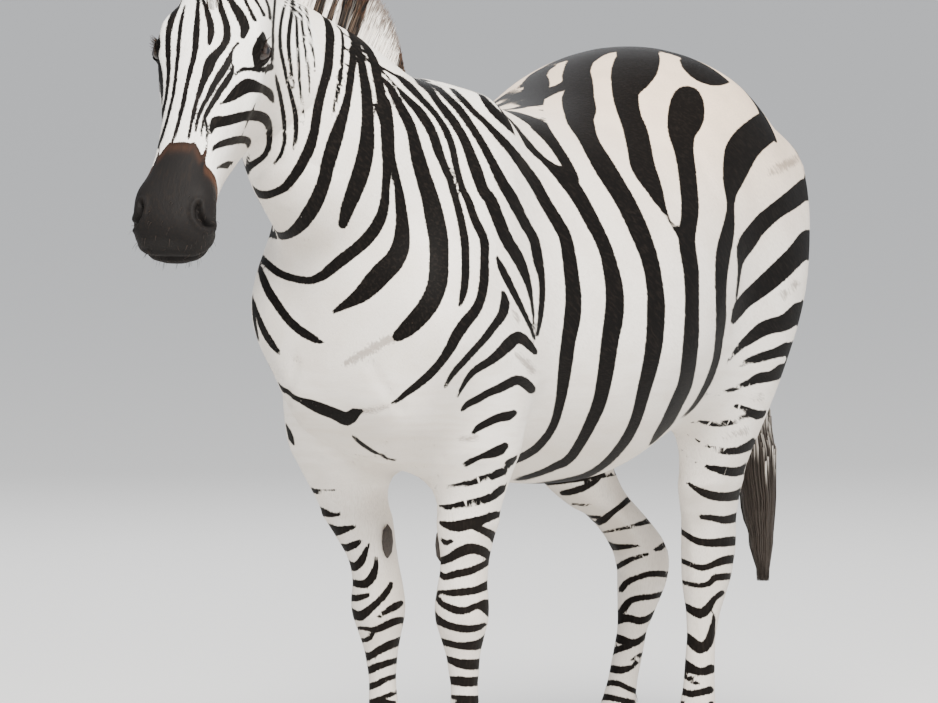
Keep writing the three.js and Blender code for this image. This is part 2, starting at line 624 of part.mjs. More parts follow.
function leg(prefix, side, { middle, top, box, cuts, places, chestnut, foot }) {
  const line = curveThrough(middle);
  const levels = cuts.map(([name, up, tilt]) => ({
    name, plane: planeAt(at(line(up, 1), 0, up), at(Math.sin(radians(tilt)), 0, -Math.cos(radians(tilt)))),
  }));
  const [back, front] = box;
  const [right, left] = side > 0 ? [12, 300] : [-300, -12];
  const upper = flesh([back, right, 400], [front, left, 900], CELLS.limb, [flip(top), levels[0].plane]);
    add(`${prefix}_${levels[0].name}`, chestnut ? upper.subtract(chestnutOn(side, GAP)) : upper, "coat");
  let rest = cutOff(overSections(form, UPRIGHT, places, 10, (up) => [line(up, 1), side * line(up, 2)], 140),
    flip(levels[0].plane));
  levels.slice(1).forEach(({ name, plane }) => {
    add(`${prefix}_${name}`, cutOff(rest, plane), "coat");
    rest = cutOff(rest, flip(plane));
  });
  add(`${prefix}_hoof`, cutOff(hoof(foot), flip(levels[levels.length - 1].plane)), "hoof");
}

const FORE = {
  chestnut: true,
  middle: [[40, 372, 80], [96, 350, 80], [130, 334, 80], [165, 320, 80], [240, 320, 80], [420, 334, 82],
    [520, 336, 88]],
  top: FORE_CUT,
  box: [200, 520],
  cuts: [["forearm", 486, 0], ["knee", 366, 0], ["cannon", 196, 0], ["pastern", 62, -14]],
  places: [42, 66, 92, 114, 136, 150, 166, 184, 210, 300, 352, 384, 412, 440, 466, 500],
};
const HIND = {
  middle: [[40, -440, 80], [96, -462, 80], [130, -484, 80], [165, -496, 80], [240, -500, 82], [320, -506, 83],
    [420, -520, 86], [560, -512, 98]],
  top: HIND_CUT,
  box: [-740, -180],
  cuts: [["gaskin", 520, 0], ["hock", 344, 0], ["cannon", 196, 0], ["pastern", 62, -14]],
  places: [42, 66, 92, 114, 136, 150, 166, 184, 210, 300, 344, 372, 404, 436, 464, 488, 512, 540],
};
const bent = HIND.middle.map(([up, forward, left]) => [up, forward + RIGHT_HIND.lead(up), left]);
leg("fore_left", 1, { ...FORE, foot: { forward: 392, left: 80 } });
leg("fore_right", -1, { ...FORE, foot: { forward: 392, left: -80 } });
add("chestnut_left", chestnutOn(1), "chestnut");
add("chestnut_right", chestnutOn(-1), "chestnut");
leg("hind_left", 1, { ...HIND, foot: { forward: -416, left: 80 } });
leg("hind_right", -1, { ...HIND, middle: bent, foot: { forward: -366, left: -80 } });

zebra.position.copy(at(-ORIGIN.forward, -ORIGIN.left, 0));
export default zebra;
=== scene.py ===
import math

import bmesh
import bpy
import numpy as np
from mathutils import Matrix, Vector
from mathutils.bvhtree import BVHTree
from mathutils.kdtree import KDTree


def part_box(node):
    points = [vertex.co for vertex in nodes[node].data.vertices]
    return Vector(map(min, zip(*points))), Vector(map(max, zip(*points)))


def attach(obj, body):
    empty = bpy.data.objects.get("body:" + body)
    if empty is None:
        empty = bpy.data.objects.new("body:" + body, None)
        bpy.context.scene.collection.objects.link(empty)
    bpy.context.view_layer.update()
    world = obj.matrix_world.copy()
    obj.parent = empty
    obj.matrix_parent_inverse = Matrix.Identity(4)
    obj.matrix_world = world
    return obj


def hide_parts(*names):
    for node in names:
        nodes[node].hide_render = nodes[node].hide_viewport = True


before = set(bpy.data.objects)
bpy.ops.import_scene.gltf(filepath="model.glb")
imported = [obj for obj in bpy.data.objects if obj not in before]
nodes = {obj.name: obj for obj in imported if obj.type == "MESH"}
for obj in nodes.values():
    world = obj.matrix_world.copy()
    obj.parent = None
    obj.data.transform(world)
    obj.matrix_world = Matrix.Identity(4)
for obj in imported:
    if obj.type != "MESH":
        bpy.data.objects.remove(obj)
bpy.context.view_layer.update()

# ---- Camera ----
# A long lens from her left front, a little above the middle of her body. It comes first, because her stripes
# are drawn as lines in its frame and cast onto her skin.
FRAME_WIDE, FRAME_HIGH = 938, 703
CAMERA_TURN = math.radians(30.7)  # from straight ahead of her towards her left
CAMERA_RISE = math.radians(4.5)
CAMERA_DISTANCE = 12.0
PIXEL = 0.0017  # metres that one pixel covers at her
AIM = Vector((0.0163, -0.0143, 0.855))
SENSOR = 36.0

to_camera = Vector((math.sin(CAMERA_TURN) * math.cos(CAMERA_RISE),
                    -math.cos(CAMERA_TURN) * math.cos(CAMERA_RISE), math.sin(CAMERA_RISE)))
camera_right = Vector((math.cos(CAMERA_TURN), math.sin(CAMERA_TURN), 0.0))
camera_up = to_camera.cross(camera_right)
camera_data = bpy.data.cameras.new("camera")
camera_data.sensor_width = SENSOR
camera_data.lens = SENSOR * CAMERA_DISTANCE / (FRAME_WIDE * PIXEL)
camera = bpy.data.objects.new("camera", camera_data)
camera.location = AIM + to_camera * CAMERA_DISTANCE
camera.rotation_mode = "QUATERNION"
camera.rotation_quaternion = (-to_camera).to_track_quat("-Z", "Y")
bpy.context.scene.collection.objects.link(camera)
bpy.context.scene.camera = camera

# ---- Skin: its form ----
# One hide over head, neck, trunk, legs and the root of the tail, with no seam. It is cast over the flesh in
# three meshes, fine on the head and legs and coarser on the trunk, which are then bridged together. The eyes,
# hooves and chestnuts are set in it, and all the hair is rooted on it.
LEG_PARTS = {"fore": ("forearm", "knee", "cannon", "pastern"),
             "hind": ("gaskin", "hock", "cannon", "pastern")}
LEG_NODES = [f"{end}_{side}_{part}" for end, parts in LEG_PARTS.items() for side in ("left", "right")
             for part in parts]
UPPER_NODES = ["head", "muzzle", "neck", "chest", "barrel", "rump", "tail_dock", "ear_left", "ear_right"]
POLL = Vector((-0.054, -0.667, 1.512))  # the top of the head, between the ears
HEAD_ALONG = Vector((0.2067, -0.6762, -0.7071))  # down the face
HEAD_OUT = Vector((0.2067, -0.6762, 0.7071))  # out of the forehead
HEAD_SIDE = Vector((0.9563, 0.2924, 0.0))  # to her left
NECK_ROOT = Vector((0.0, -0.287, 1.139))
NECK_ALONG = Vector((-0.1621, -0.7312, 0.6626))  # up the neck
NECK_OUT = Vector((0.1434, 0.6469, 0.749))  # out of the crest
NECK_SIDE = Vector((0.9763, -0.2164, 0.0))
NECK_JOIN = 0.285  # up the neck, where the head's mesh meets the trunk's
LEG_JOIN = 0.585  # the height where the legs' mesh meets the trunk's
JOIN_GAP = 0.004
COAT_DEPTH = 0.0022


def rows_of(mesh):
    co = np.empty(len(mesh.vertices) * 3)
    mesh.vertices.foreach_get("co", co)
    return co.reshape(-1, 3)


def normals_of(mesh):
    turned = np.empty(len(mesh.vertices) * 3)
    mesh.vertex_normals.foreach_get("vector", turned)
    return turned.reshape(-1, 3)


def in_frame(co, origin, *directions):
    q = co - np.array(origin)
    return [q @ np.array(way) for way in directions]


def ramp(x, low, high):
    t = np.clip((x - low) / (high - low), 0.0, 1.0)
    return t * t * (3 - 2 * t)


def tree_over(places):
    """These places, kept so that the nearest of them is quick to find."""
    found = KDTree(len(places))
    for i, place in enumerate(places):
        found.insert(place, i)
    found.balance()
    return found


def shade_smoothly(mesh):
    for polygon in mesh.polygons:
        polygon.use_smooth = True


def object_of(shape, name):
    """An object in the scene from a bmesh, which is freed."""
    mesh = bpy.data.meshes.new(name)
    shape.to_mesh(mesh)
    shape.free()
    made = bpy.data.objects.new(name, mesh)
    bpy.context.scene.collection.objects.link(made)
    return made


def cast_over(names, voxel, cuts, roots=(), welded=()):
    """A bmesh over these nodes' outside, in cells of one size, kept in front of each cut (point, normal).
    Roots are closed meshes cast with them. Welded objects are joined on afterwards, as fine as they are."""
    solid = bmesh.new()
    for name in names:
        solid.from_mesh(nodes[name].data)
    for root in roots:
        solid.from_mesh(root.data)
    bmesh.ops.remove_doubles(solid, verts=solid.verts, dist=1e-5)
    lump = object_of(solid, "cast")
    mesh = lump.data
    remesh = lump.modifiers.new("cells", "REMESH")
    remesh.mode = "VOXEL"
    remesh.voxel_size = voxel
    for other in welded:
        weld = lump.modifiers.new("weld", "BOOLEAN")
        weld.operation = "UNION"
        weld.solver = "MANIFOLD"
        weld.object = other
    evaluated = bpy.context.evaluated_depsgraph_get()
    cells = bpy.data.meshes.new_from_object(lump.evaluated_get(evaluated))
    kept = bmesh.new()
    kept.from_mesh(cells)
    for point, normal in cuts:
        bmesh.ops.bisect_plane(kept, geom=kept.verts[:] + kept.edges[:] + kept.faces[:], dist=1e-6,
                               plane_co=point, plane_no=normal, clear_inner=True)
    bpy.data.objects.remove(lump)
    bpy.data.meshes.remove(mesh)
    bpy.data.meshes.remove(cells)
    return kept


# An ear is a thin curled shell of gristle: a tube at its root, open to the front and outside above it.
# Rows are [height, half width, depth behind, degrees that each edge curls round to the front].
EAR_ROWS = [(-16, 20, 18, 88), (0, 21, 19, 86), (22, 24, 21, 74), (44, 32, 24, 50), (66, 37, 25.5, 30),
            (90, 38.5, 25.5, 23), (114, 35.5, 22, 20), (136, 28, 16.5, 15), (152, 18.5, 11, 8),
            (162, 10, 7, 3), (167, 3.5, 4.5, 0)]
EAR_WALL = 0.0042
EAR_STEPS = (40, 26)  # up the ear and round it
EAR_ROOT_UP = 0.010  # how much of the CAD ear is kept to fill its socket in the skull


def ear_frame(side):
    """The root of an ear, with its directions up the shell, out of its mouth and across it."""
    ahead = Vector((0.2924, -0.9563, 0.0))
    axis = (Vector((0, 0, 1)) + ahead * 0.16 + HEAD_SIDE * (side * 0.34)).normalized()
    mouth = ahead + HEAD_SIDE * (side * 0.75)
    mouth = (mouth - axis * mouth.dot(axis)).normalized()
    root = POLL + HEAD_ALONG * 0.022 - HEAD_OUT * 0.006 + HEAD_SIDE * (side * 0.050)
    return root, axis, mouth, axis.cross(mouth)


def ear_shell(side):
    root, axis, mouth, across = ear_frame(side)
    heights, halves, depths, curls = np.array(EAR_ROWS, float).T
    sheet = bmesh.new()
    bmesh.ops.create_grid(sheet, x_segments=EAR_STEPS[1], y_segments=EAR_STEPS[0], size=1)
    for v in sheet.verts:
        height = heights[0] + (heights[-1] - heights[0]) * (v.co.y + 1) / 2
        half, depth, curl = (np.interp(height, heights, row) for row in (halves, depths, curls))
        turn = math.radians(90 + v.co.x * (90 + curl))
        v.co = (root + axis * (height / 1000) + across * (half / 1000 * math.cos(turn))
                - mouth * (depth / 1000 * math.sin(turn)))
    bmesh.ops.smooth_vert(sheet, verts=sheet.verts, factor=0.5,
                          use_axis_x=True, use_axis_y=True, use_axis_z=True)
    bmesh.ops.recalc_face_normals(sheet, faces=sheet.faces)
    shell = object_of(sheet, "ear")
    wall = shell.modifiers.new("wall", "SOLIDIFY")
    wall.thickness = EAR_WALL
    wall.offset = -1 if shell.data.polygons[0].normal.dot(-mouth) > 0 else 1
    return shell


def ear_root(node, side):
    """The part of a CAD ear that is sunk into the skull, closed."""
    root, axis, _, _ = ear_frame(side)
    kept = bmesh.new()
    kept.from_mesh(nodes[node].data)
    bmesh.ops.remove_doubles(kept, verts=kept.verts, dist=1e-5)
    bmesh.ops.bisect_plane(kept, geom=kept.verts[:] + kept.edges[:] + kept.faces[:], dist=1e-6,
                           plane_co=root + axis * EAR_ROOT_UP, plane_no=axis, clear_outer=True)
    bmesh.ops.holes_fill(kept, edges=[e for e in kept.edges if e.is_boundary])
    return object_of(kept, "ear root")


neck_join = NECK_ROOT + NECK_ALONG * NECK_JOIN
ear_shells = [ear_shell(1), ear_shell(-1)]
ear_roots = [ear_root("ear_left", 1), ear_root("ear_right", -1)]
head_cells = cast_over(["head", "muzzle", "neck"], 0.0075,
                       [(neck_join + NECK_ALONG * JOIN_GAP, NECK_ALONG)], ear_roots, ear_shells)
for spare in ear_shells + ear_roots:
    bpy.data.objects.remove(spare)
trunk_cells = cast_over(UPPER_NODES[:-2] + [n for n in LEG_NODES if "forearm" in n or "gaskin" in n], 0.0134,
                        [(neck_join, -NECK_ALONG), (Vector((0, 0, LEG_JOIN)), Vector((0, 0, 1)))])
leg_cells = cast_over(LEG_NODES, 0.0072, [(Vector((0, 0, LEG_JOIN - JOIN_GAP)), Vector((0, 0, -1)))])

hide = bmesh.new()
for part in (head_cells, trunk_cells, leg_cells):
    mesh = bpy.data.meshes.new("part")
    part.to_mesh(mesh)
    part.free()
    hide.from_mesh(mesh)
    bpy.data.meshes.remove(mesh)

# each pair of open rims is bridged: one round the neck, and one round the top of each leg
rims = [e for e in hide.edges if e.is_boundary]
middles = {e: (e.verts[0].co + e.verts[1].co) / 2 for e in rims}
at_neck = [e for e in rims if abs((middles[e] - neck_join).dot(NECK_ALONG)) < 2 * JOIN_GAP]
at_legs = [e for e in rims if e not in set(at_neck) and middles[e].z < LEG_JOIN + JOIN_GAP]
LEG_MIDDLE_Y = 0.2  # between the forelegs and the hind legs
groups = [at_neck] + [[e for e in at_legs
                       if (middles[e].x > 0) == left and (middles[e].y < LEG_MIDDLE_Y) == fore]
                      for left in (True, False) for fore in (True, False)]
for group in groups:
    bmesh.ops.bridge_loops(hide, edges=group)

EYE_RADIUS = 0.021
EYE_NODES = {"eye_left": 1, "eye_right": -1}
eye_middles = {name: sum((Vector(c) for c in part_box(name)), Vector()) / 2 for name in EYE_NODES}


def refined(shape, wanted):
    """Halves the cells whose middles are wanted, and splits the many-sided ones left round them."""
    chosen = {e for f in shape.faces if wanted(f.calc_center_median()) for e in f.edges}
    bmesh.ops.subdivide_edges(shape, edges=list(chosen), cuts=1, use_grid_fill=True)
    bmesh.ops.triangulate(shape, faces=[f for f in shape.faces if len(f.verts) > 4])


def on_face(middle):
    q = middle - POLL
    if (middle - NECK_ROOT).dot(NECK_ALONG) < NECK_JOIN + 0.02:
        return False
    down_face, out_face = q.dot(HEAD_ALONG), q.dot(HEAD_OUT)
    return down_face > -0.01 and -0.135 < out_face < 0.02 + down_face


def by_eye(middle):
    return min((middle - eye).length for eye in eye_middles.values()) < 0.036


def on_shoulder(middle):
    up = (middle - NECK_ROOT).dot(NECK_ALONG)
    return middle.y < -0.06 and middle.z > LEG_JOIN + 0.10 and up < NECK_JOIN - 0.01


refined(hide, on_face)
refined(hide, on_shoulder)
refined(hide, by_eye)
bmesh.ops.recalc_face_normals(hide, faces=hide.faces)


def smoothed(start, edges, weight, rounds):
    """Draws each point towards its neighbours by its own weight, without shrinking the large forms."""
    count = np.bincount(edges.ravel(), minlength=len(start))[:, None]
    pull = weight[:, None] * 0.5

    def blurred(values):
        values = values.copy()
        for _ in range(rounds):
            total = np.stack([
                np.bincount(edges[:, 0], weights=values[edges[:, 1], k], minlength=len(values))
                + np.bincount(edges[:, 1], weights=values[edges[:, 0], k], minlength=len(values))
                for k in range(3)], axis=1)
            values += (total / count - values) * pull
        return values

    soft = blurred(start)
    return soft + blurred(start - soft)


def edges_of(mesh):
    pairs = np.empty(len(mesh.edges) * 2, np.int32)
    mesh.edges.foreach_get("vertices", pairs)
    return pairs.reshape(-1, 2)


skin_mesh = bpy.data.meshes.new("skin")
hide.to_mesh(skin_mesh)
hide.free()
co = rows_of(skin_mesh)
up_neck, out_neck, side_neck = in_frame(co, NECK_ROOT, NECK_ALONG, NECK_OUT, NECK_SIDE)
along_head, side_head, out_head = in_frame(co, POLL, HEAD_ALONG, HEAD_SIDE, HEAD_OUT)
is_head = (up_neck > NECK_JOIN) & (co[:, 1] < -0.52)
is_ear = is_head & (out_head > 0.022) & (along_head < 0.03) & (np.abs(side_head) > 0.018)
is_leg = co[:, 2] < LEG_JOIN
is_dock = (co[:, 1] > 0.915) & (co[:, 2] < 1.20)
weight = np.ones(len(co))
weight[is_leg] = 0.12 + 0.4 * ramp(co[is_leg, 2], 0.46, 0.56)
weight[is_head] = 0.9
weight[is_head & (along_head > 0.30)] = 0.7
weight[is_ear] = 0.06
weight[is_dock] = 0.06
for eye in eye_middles.values():
    weight[np.linalg.norm(co - np.array(eye), axis=1) < 0.034] = 0.35
co = smoothed(co, edges_of(skin_mesh), weight, 60)


def put_points(mesh, points):
    mesh.vertices.foreach_set("co", points.ravel())
    mesh.update()


put_points(skin_mesh, co)
co -= normals_of(skin_mesh) * COAT_DEPTH
put_points(skin_mesh, co)
shade_smoothly(skin_mesh)
skin = bpy.data.objects.new("skin", skin_mesh)
bpy.context.scene.collection.objects.link(skin)

# ---- Skin: eyelids ----
# The hide is drawn over the globe of each eye from its socket's rim to an almond opening. Each lid is thicker
# at its edge and has a crease, deeper above the upper lid.
OPENING = (math.radians(58), math.radians(31), math.radians(27))  # to the corners, up and down
LID_RADIUS = 0.0223
LID_REACH = 0.020  # how far from the socket's rim the hide is drawn over
LID_END = math.radians(150)  # how far round the inside of the socket follows it
LID_SPREAD = 1.6  # how closely the lid holds to the globe before it leaves it
AROUND_EYE = 0.060
RIM_WITHIN = 0.034  # the socket's rim is nearer the globe's middle than this
RIM_SLICE = 0.15  # half of the turn that each step round the rim looks at
EYE_SUNK = 0.003  # how much deeper the globe sits than its socket's middle
GAZE_FORWARD = 0.40  # how far the lids open towards her forehead
eye_ways = {}
for name, side in EYE_NODES.items():
    eye = np.array(eye_middles[name])
    away = co - eye
    reach = np.linalg.norm(away, axis=1)
    inward = np.sum(normals_of(skin_mesh) * away, axis=1) / np.maximum(reach, 1e-6) < -0.3
    bowl = inward & (reach < EYE_RADIUS + COAT_DEPTH + 0.003)
    socket = -Vector(away[bowl].mean(axis=0)).normalized()
    outward = (socket + HEAD_OUT * GAZE_FORWARD).normalized()
    onward = (HEAD_ALONG - outward * HEAD_ALONG.dot(outward)).normalized()
    upward = onward.cross(outward) * side
    if upward.dot(HEAD_OUT) < 0:
        upward = -upward
    eye_ways[name] = (outward, onward, upward)
    eye_middles[name] = eye_middles[name] - outward * EYE_SUNK
    eye = np.array(eye_middles[name])
    away = co - eye
    reach = np.linalg.norm(away, axis=1)
    near = np.nonzero(reach < AROUND_EYE)[0]
    away, reach, under = away[near], reach[near], bowl[near]
    u, v, w = (away @ np.array(way) for way in (onward, upward, outward))
    phi = np.arccos(np.clip(w / np.maximum(reach, 1e-6), -1, 1))
    theta = np.arctan2(v, u)
    turns = np.linspace(-math.pi, math.pi, 37)[:-1]
    rims, rim_reaches = [], []
    for turn in turns:
        beside = np.abs((theta - turn + math.pi) % (2 * math.pi) - math.pi) < RIM_SLICE
        beside &= reach < RIM_WITHIN
        nearest = np.nonzero(beside)[0][np.argmin(phi[beside])]
        rims.append(phi[nearest])
        rim_reaches.append(reach[nearest])
    rims, rim_reaches = (sum(np.roll(row, k) for k in (-1, 0, 1)) / 3 for row in (rims, rim_reaches))
    socket_rim = np.interp(theta, turns, rims, period=2 * math.pi)
    rim_reach = np.interp(theta, turns, rim_reaches, period=2 * math.pi)
    high = np.where(v > 0, OPENING[1], OPENING[2])
    rim = 1 / np.sqrt((np.cos(theta) / OPENING[0]) ** 2 + (np.sin(theta) / high) ** 2)
    from_rim = np.hypot((phi - socket_rim) * rim_reach, np.maximum(reach - rim_reach, 0))
    share = np.clip(from_rim / LID_REACH, 0, 1)
    fade = 1 - share
    lid_turned = rim + (phi - rim) * (1 - fade ** 2)
    lid_deep = LID_RADIUS + (reach - LID_RADIUS) * ramp(share, 0.0, 1.0) ** LID_SPREAD
    inner = np.clip((phi - socket_rim) / (LID_END - socket_rim), 0, 1)
    turned = np.where(under, np.where(phi < LID_END, rim + inner * (LID_END - rim), phi), lid_turned)
    deep = np.where(under, np.minimum(reach, EYE_RADIUS - 0.0012), np.maximum(lid_deep, LID_RADIUS))
    crease = np.where(v > 0, 0.0016, 0.0008) * np.exp(-((turned - rim - np.radians(17)) / np.radians(5)) ** 2)
    lip = 0.0009 * np.exp(-((turned - rim - np.radians(5)) / np.radians(5)) ** 2)
    deep += np.where(under, 0, (lip - crease) * fade)
    flat = deep * np.sin(turned)
    co[near] = (eye + np.outer(deep * np.cos(turned), np.array(outward))
                + np.outer(flat * np.cos(theta), np.array(onward))
                + np.outer(flat * np.sin(theta), np.array(upward)))
put_points(skin_mesh, co)

# ---- Skin: its stripes ----
# Short hair of two colours. Each dark stripe is a line with a width at each of its points, drawn in the
# camera's frame and cast onto the skin. Every point of the hide keeps its distance to the nearest dark edge.
skin_tree = BVHTree.FromPolygons(co.tolist(), [tuple(p.vertices) for p in skin_mesh.polygons])
FAR_EDGE = 0.03
mark = np.full(len(co), FAR_EDGE)


def cast_pixel(x, y):
    """Where the camera's line through a place in its frame meets the skin, if it does."""
    aim = AIM + camera_right * ((x - FRAME_WIDE / 2) * PIXEL) + camera_up * ((FRAME_HIGH / 2 - y) * PIXEL)
    return skin_tree.ray_cast(camera.location, (aim - camera.location).normalized())[0]


def curve_of(points, spacing=4.0):
    """A smooth curve through rows of (x, y, width), sampled evenly."""
    rows = np.array(points, float)
    padded = np.vstack([2 * rows[0] - rows[1], rows, 2 * rows[-1] - rows[-2]])
    found = []
    for i in range(1, len(padded) - 2):
        before, start, end, after = padded[i - 1:i + 3]
        count = max(int(np.hypot(*(end - start)[:2]) / spacing), 1)
        for t in np.linspace(0, 1, count, endpoint=False):
            found.append(0.5 * (2 * start + (end - before) * t
                                + (2 * before - 5 * start + 4 * end - after) * t * t
                                + (3 * start - before - 3 * end + after) * t ** 3))
    found.append(rows[-1])
    return np.array(found)


def lay(points):
    """The stripe's middle and half width on the skin, from its line in the frame."""
    drawn = curve_of(points)
    slope = np.gradient(drawn[:, :2], axis=0)
    slope /= np.maximum(np.linalg.norm(slope, axis=1), 1e-6)[:, None]
    laid = []
    for (x, y, width), (dx, dy) in zip(drawn, slope):
        edges = [cast_pixel(x - dy * width * k / 2, y + dx * width * k / 2) for k in (-1, 1)]
        middle = cast_pixel(x, y)
        if edges[0] and edges[1] and (edges[0] - edges[1]).length < 3 * width * PIXEL:
            laid.append(((edges[0] + edges[1]) / 2, (edges[0] - edges[1]).length / 2))
        elif middle:
            laid.append((middle, width * PIXEL / 2))
    laid = [(skin_tree.find_nearest(place)[0], half) for place, half in laid]
    kept = laid[:1]
    for place, half in laid[1:]:
        if (place - kept[-1][0]).length < 0.06:
            kept.append((place, half))
    return kept


RUN_STEP = 0.008


def run_on(laid, length, taper=0.0):
    """Carries a laid stripe on over the skin past its last point."""
    if len(laid) < 2 or length <= 0:
        return laid
    place, half = laid[-1]
    way = (place - laid[-min(4, len(laid))][0]).normalized()
    more = []
    for i in range(int(length / RUN_STEP)):
        found, normal, _, _ = skin_tree.find_nearest(place + way * RUN_STEP)
        ahead = found - place
        way = (ahead - normal * ahead.dot(normal)).normalized()
        place = found
        more.append((place, half * (1 - taper * (i + 1) * RUN_STEP / length)))
    return laid + more


def gap_to(laid, reach=FAR_EDGE, mask=None):
    """The points within reach of a laid stripe, and how far each is outside its edge."""
    places = np.array([tuple(p) for p, _ in laid])
    halves = np.array([h for _, h in laid])
    low, high = places.min(0) - reach - halves.max(), places.max(0) + reach + halves.max()
    near = np.all((co > low) & (co < high), axis=1)
    if mask is not None:
        near &= mask
    chosen = np.nonzero(near)[0]
    points = co[chosen]
    best = np.full(len(chosen), reach)
    for i in range(len(places) - 1):
        span = places[i + 1] - places[i]
        t = np.clip((points - places[i]) @ span / max(span @ span, 1e-12), 0, 1)
        gap = np.linalg.norm(points - places[i] - t[:, None] * span, axis=1)
        best = np.minimum(best, gap - (halves[i] + (halves[i + 1] - halves[i]) * t))
    return chosen, best


normals = normals_of(skin_mesh)
facing = normals @ np.array(to_camera)
from_camera = co - np.array(camera.location)
scale = CAMERA_DISTANCE / -(from_camera @ np.array(to_camera)) / PIXEL
across = FRAME_WIDE / 2 + (from_camera @ np.array(camera_right)) * scale
down = FRAME_HIGH / 2 - (from_camera @ np.array(camera_up)) * scale
drawn_on = facing > 0.10
for i in np.nonzero(drawn_on)[0]:
    if skin_tree.ray_cast(Vector(co[i] + normals[i] * 0.004), to_camera)[0]:
        drawn_on[i] = False


def draw(points, onto=None):
    """Brings the distance down to this stripe's own where its line in the frame meets open skin."""
    onto = mark if onto is None else onto
    drawn = curve_of(points)
    margin = FAR_EDGE / PIXEL + drawn[:, 2].max()
    near = drawn_on & (across > drawn[:, 0].min() - margin) & (across < drawn[:, 0].max() + margin)
    near &= (down > drawn[:, 1].min() - margin) & (down < drawn[:, 1].max() + margin)
    chosen = np.nonzero(near)[0]
    x, y = across[chosen], down[chosen]
    best = np.full(len(chosen), FAR_EDGE)
    for (x0, y0, w0), (x1, y1, w1) in zip(drawn, drawn[1:]):
        dx, dy = x1 - x0, y1 - y0
        t = np.clip(((x - x0) * dx + (y - y0) * dy) / max(dx * dx + dy * dy, 1e-9), 0, 1)
        gap = np.hypot(x - x0 - t * dx, y - y0 - t * dy) - (w0 + (w1 - w0) * t) / 2
        best = np.minimum(best, gap * PIXEL)
    onto[chosen] = np.minimum(onto[chosen], best)


def paint(laid, mask=None):
    """Brings it down to a laid stripe's own, on skin that the camera doesn't meet."""
    if len(laid) > 1:
        chosen, gap = gap_to(laid, mask=~drawn_on if mask is None else mask & ~drawn_on)
        mark[chosen] = np.minimum(mark[chosen], gap)


def mirrored(laid, origin, side):
    """The same stripe on her other side."""
    found = []
    for place, half in laid:
        other = place - side * (2 * (place - origin).dot(side))
        found.append((skin_tree.find_nearest(other)[0], half))
    return found


MIDDLE = (Vector((0, 0, 0)), Vector((1, 0, 0)))
hidden_trunk = co[:, 0] < 0.004
TOPLINE_ROWS = 125  # a stripe that starts above this row of the frame is carried on over the back

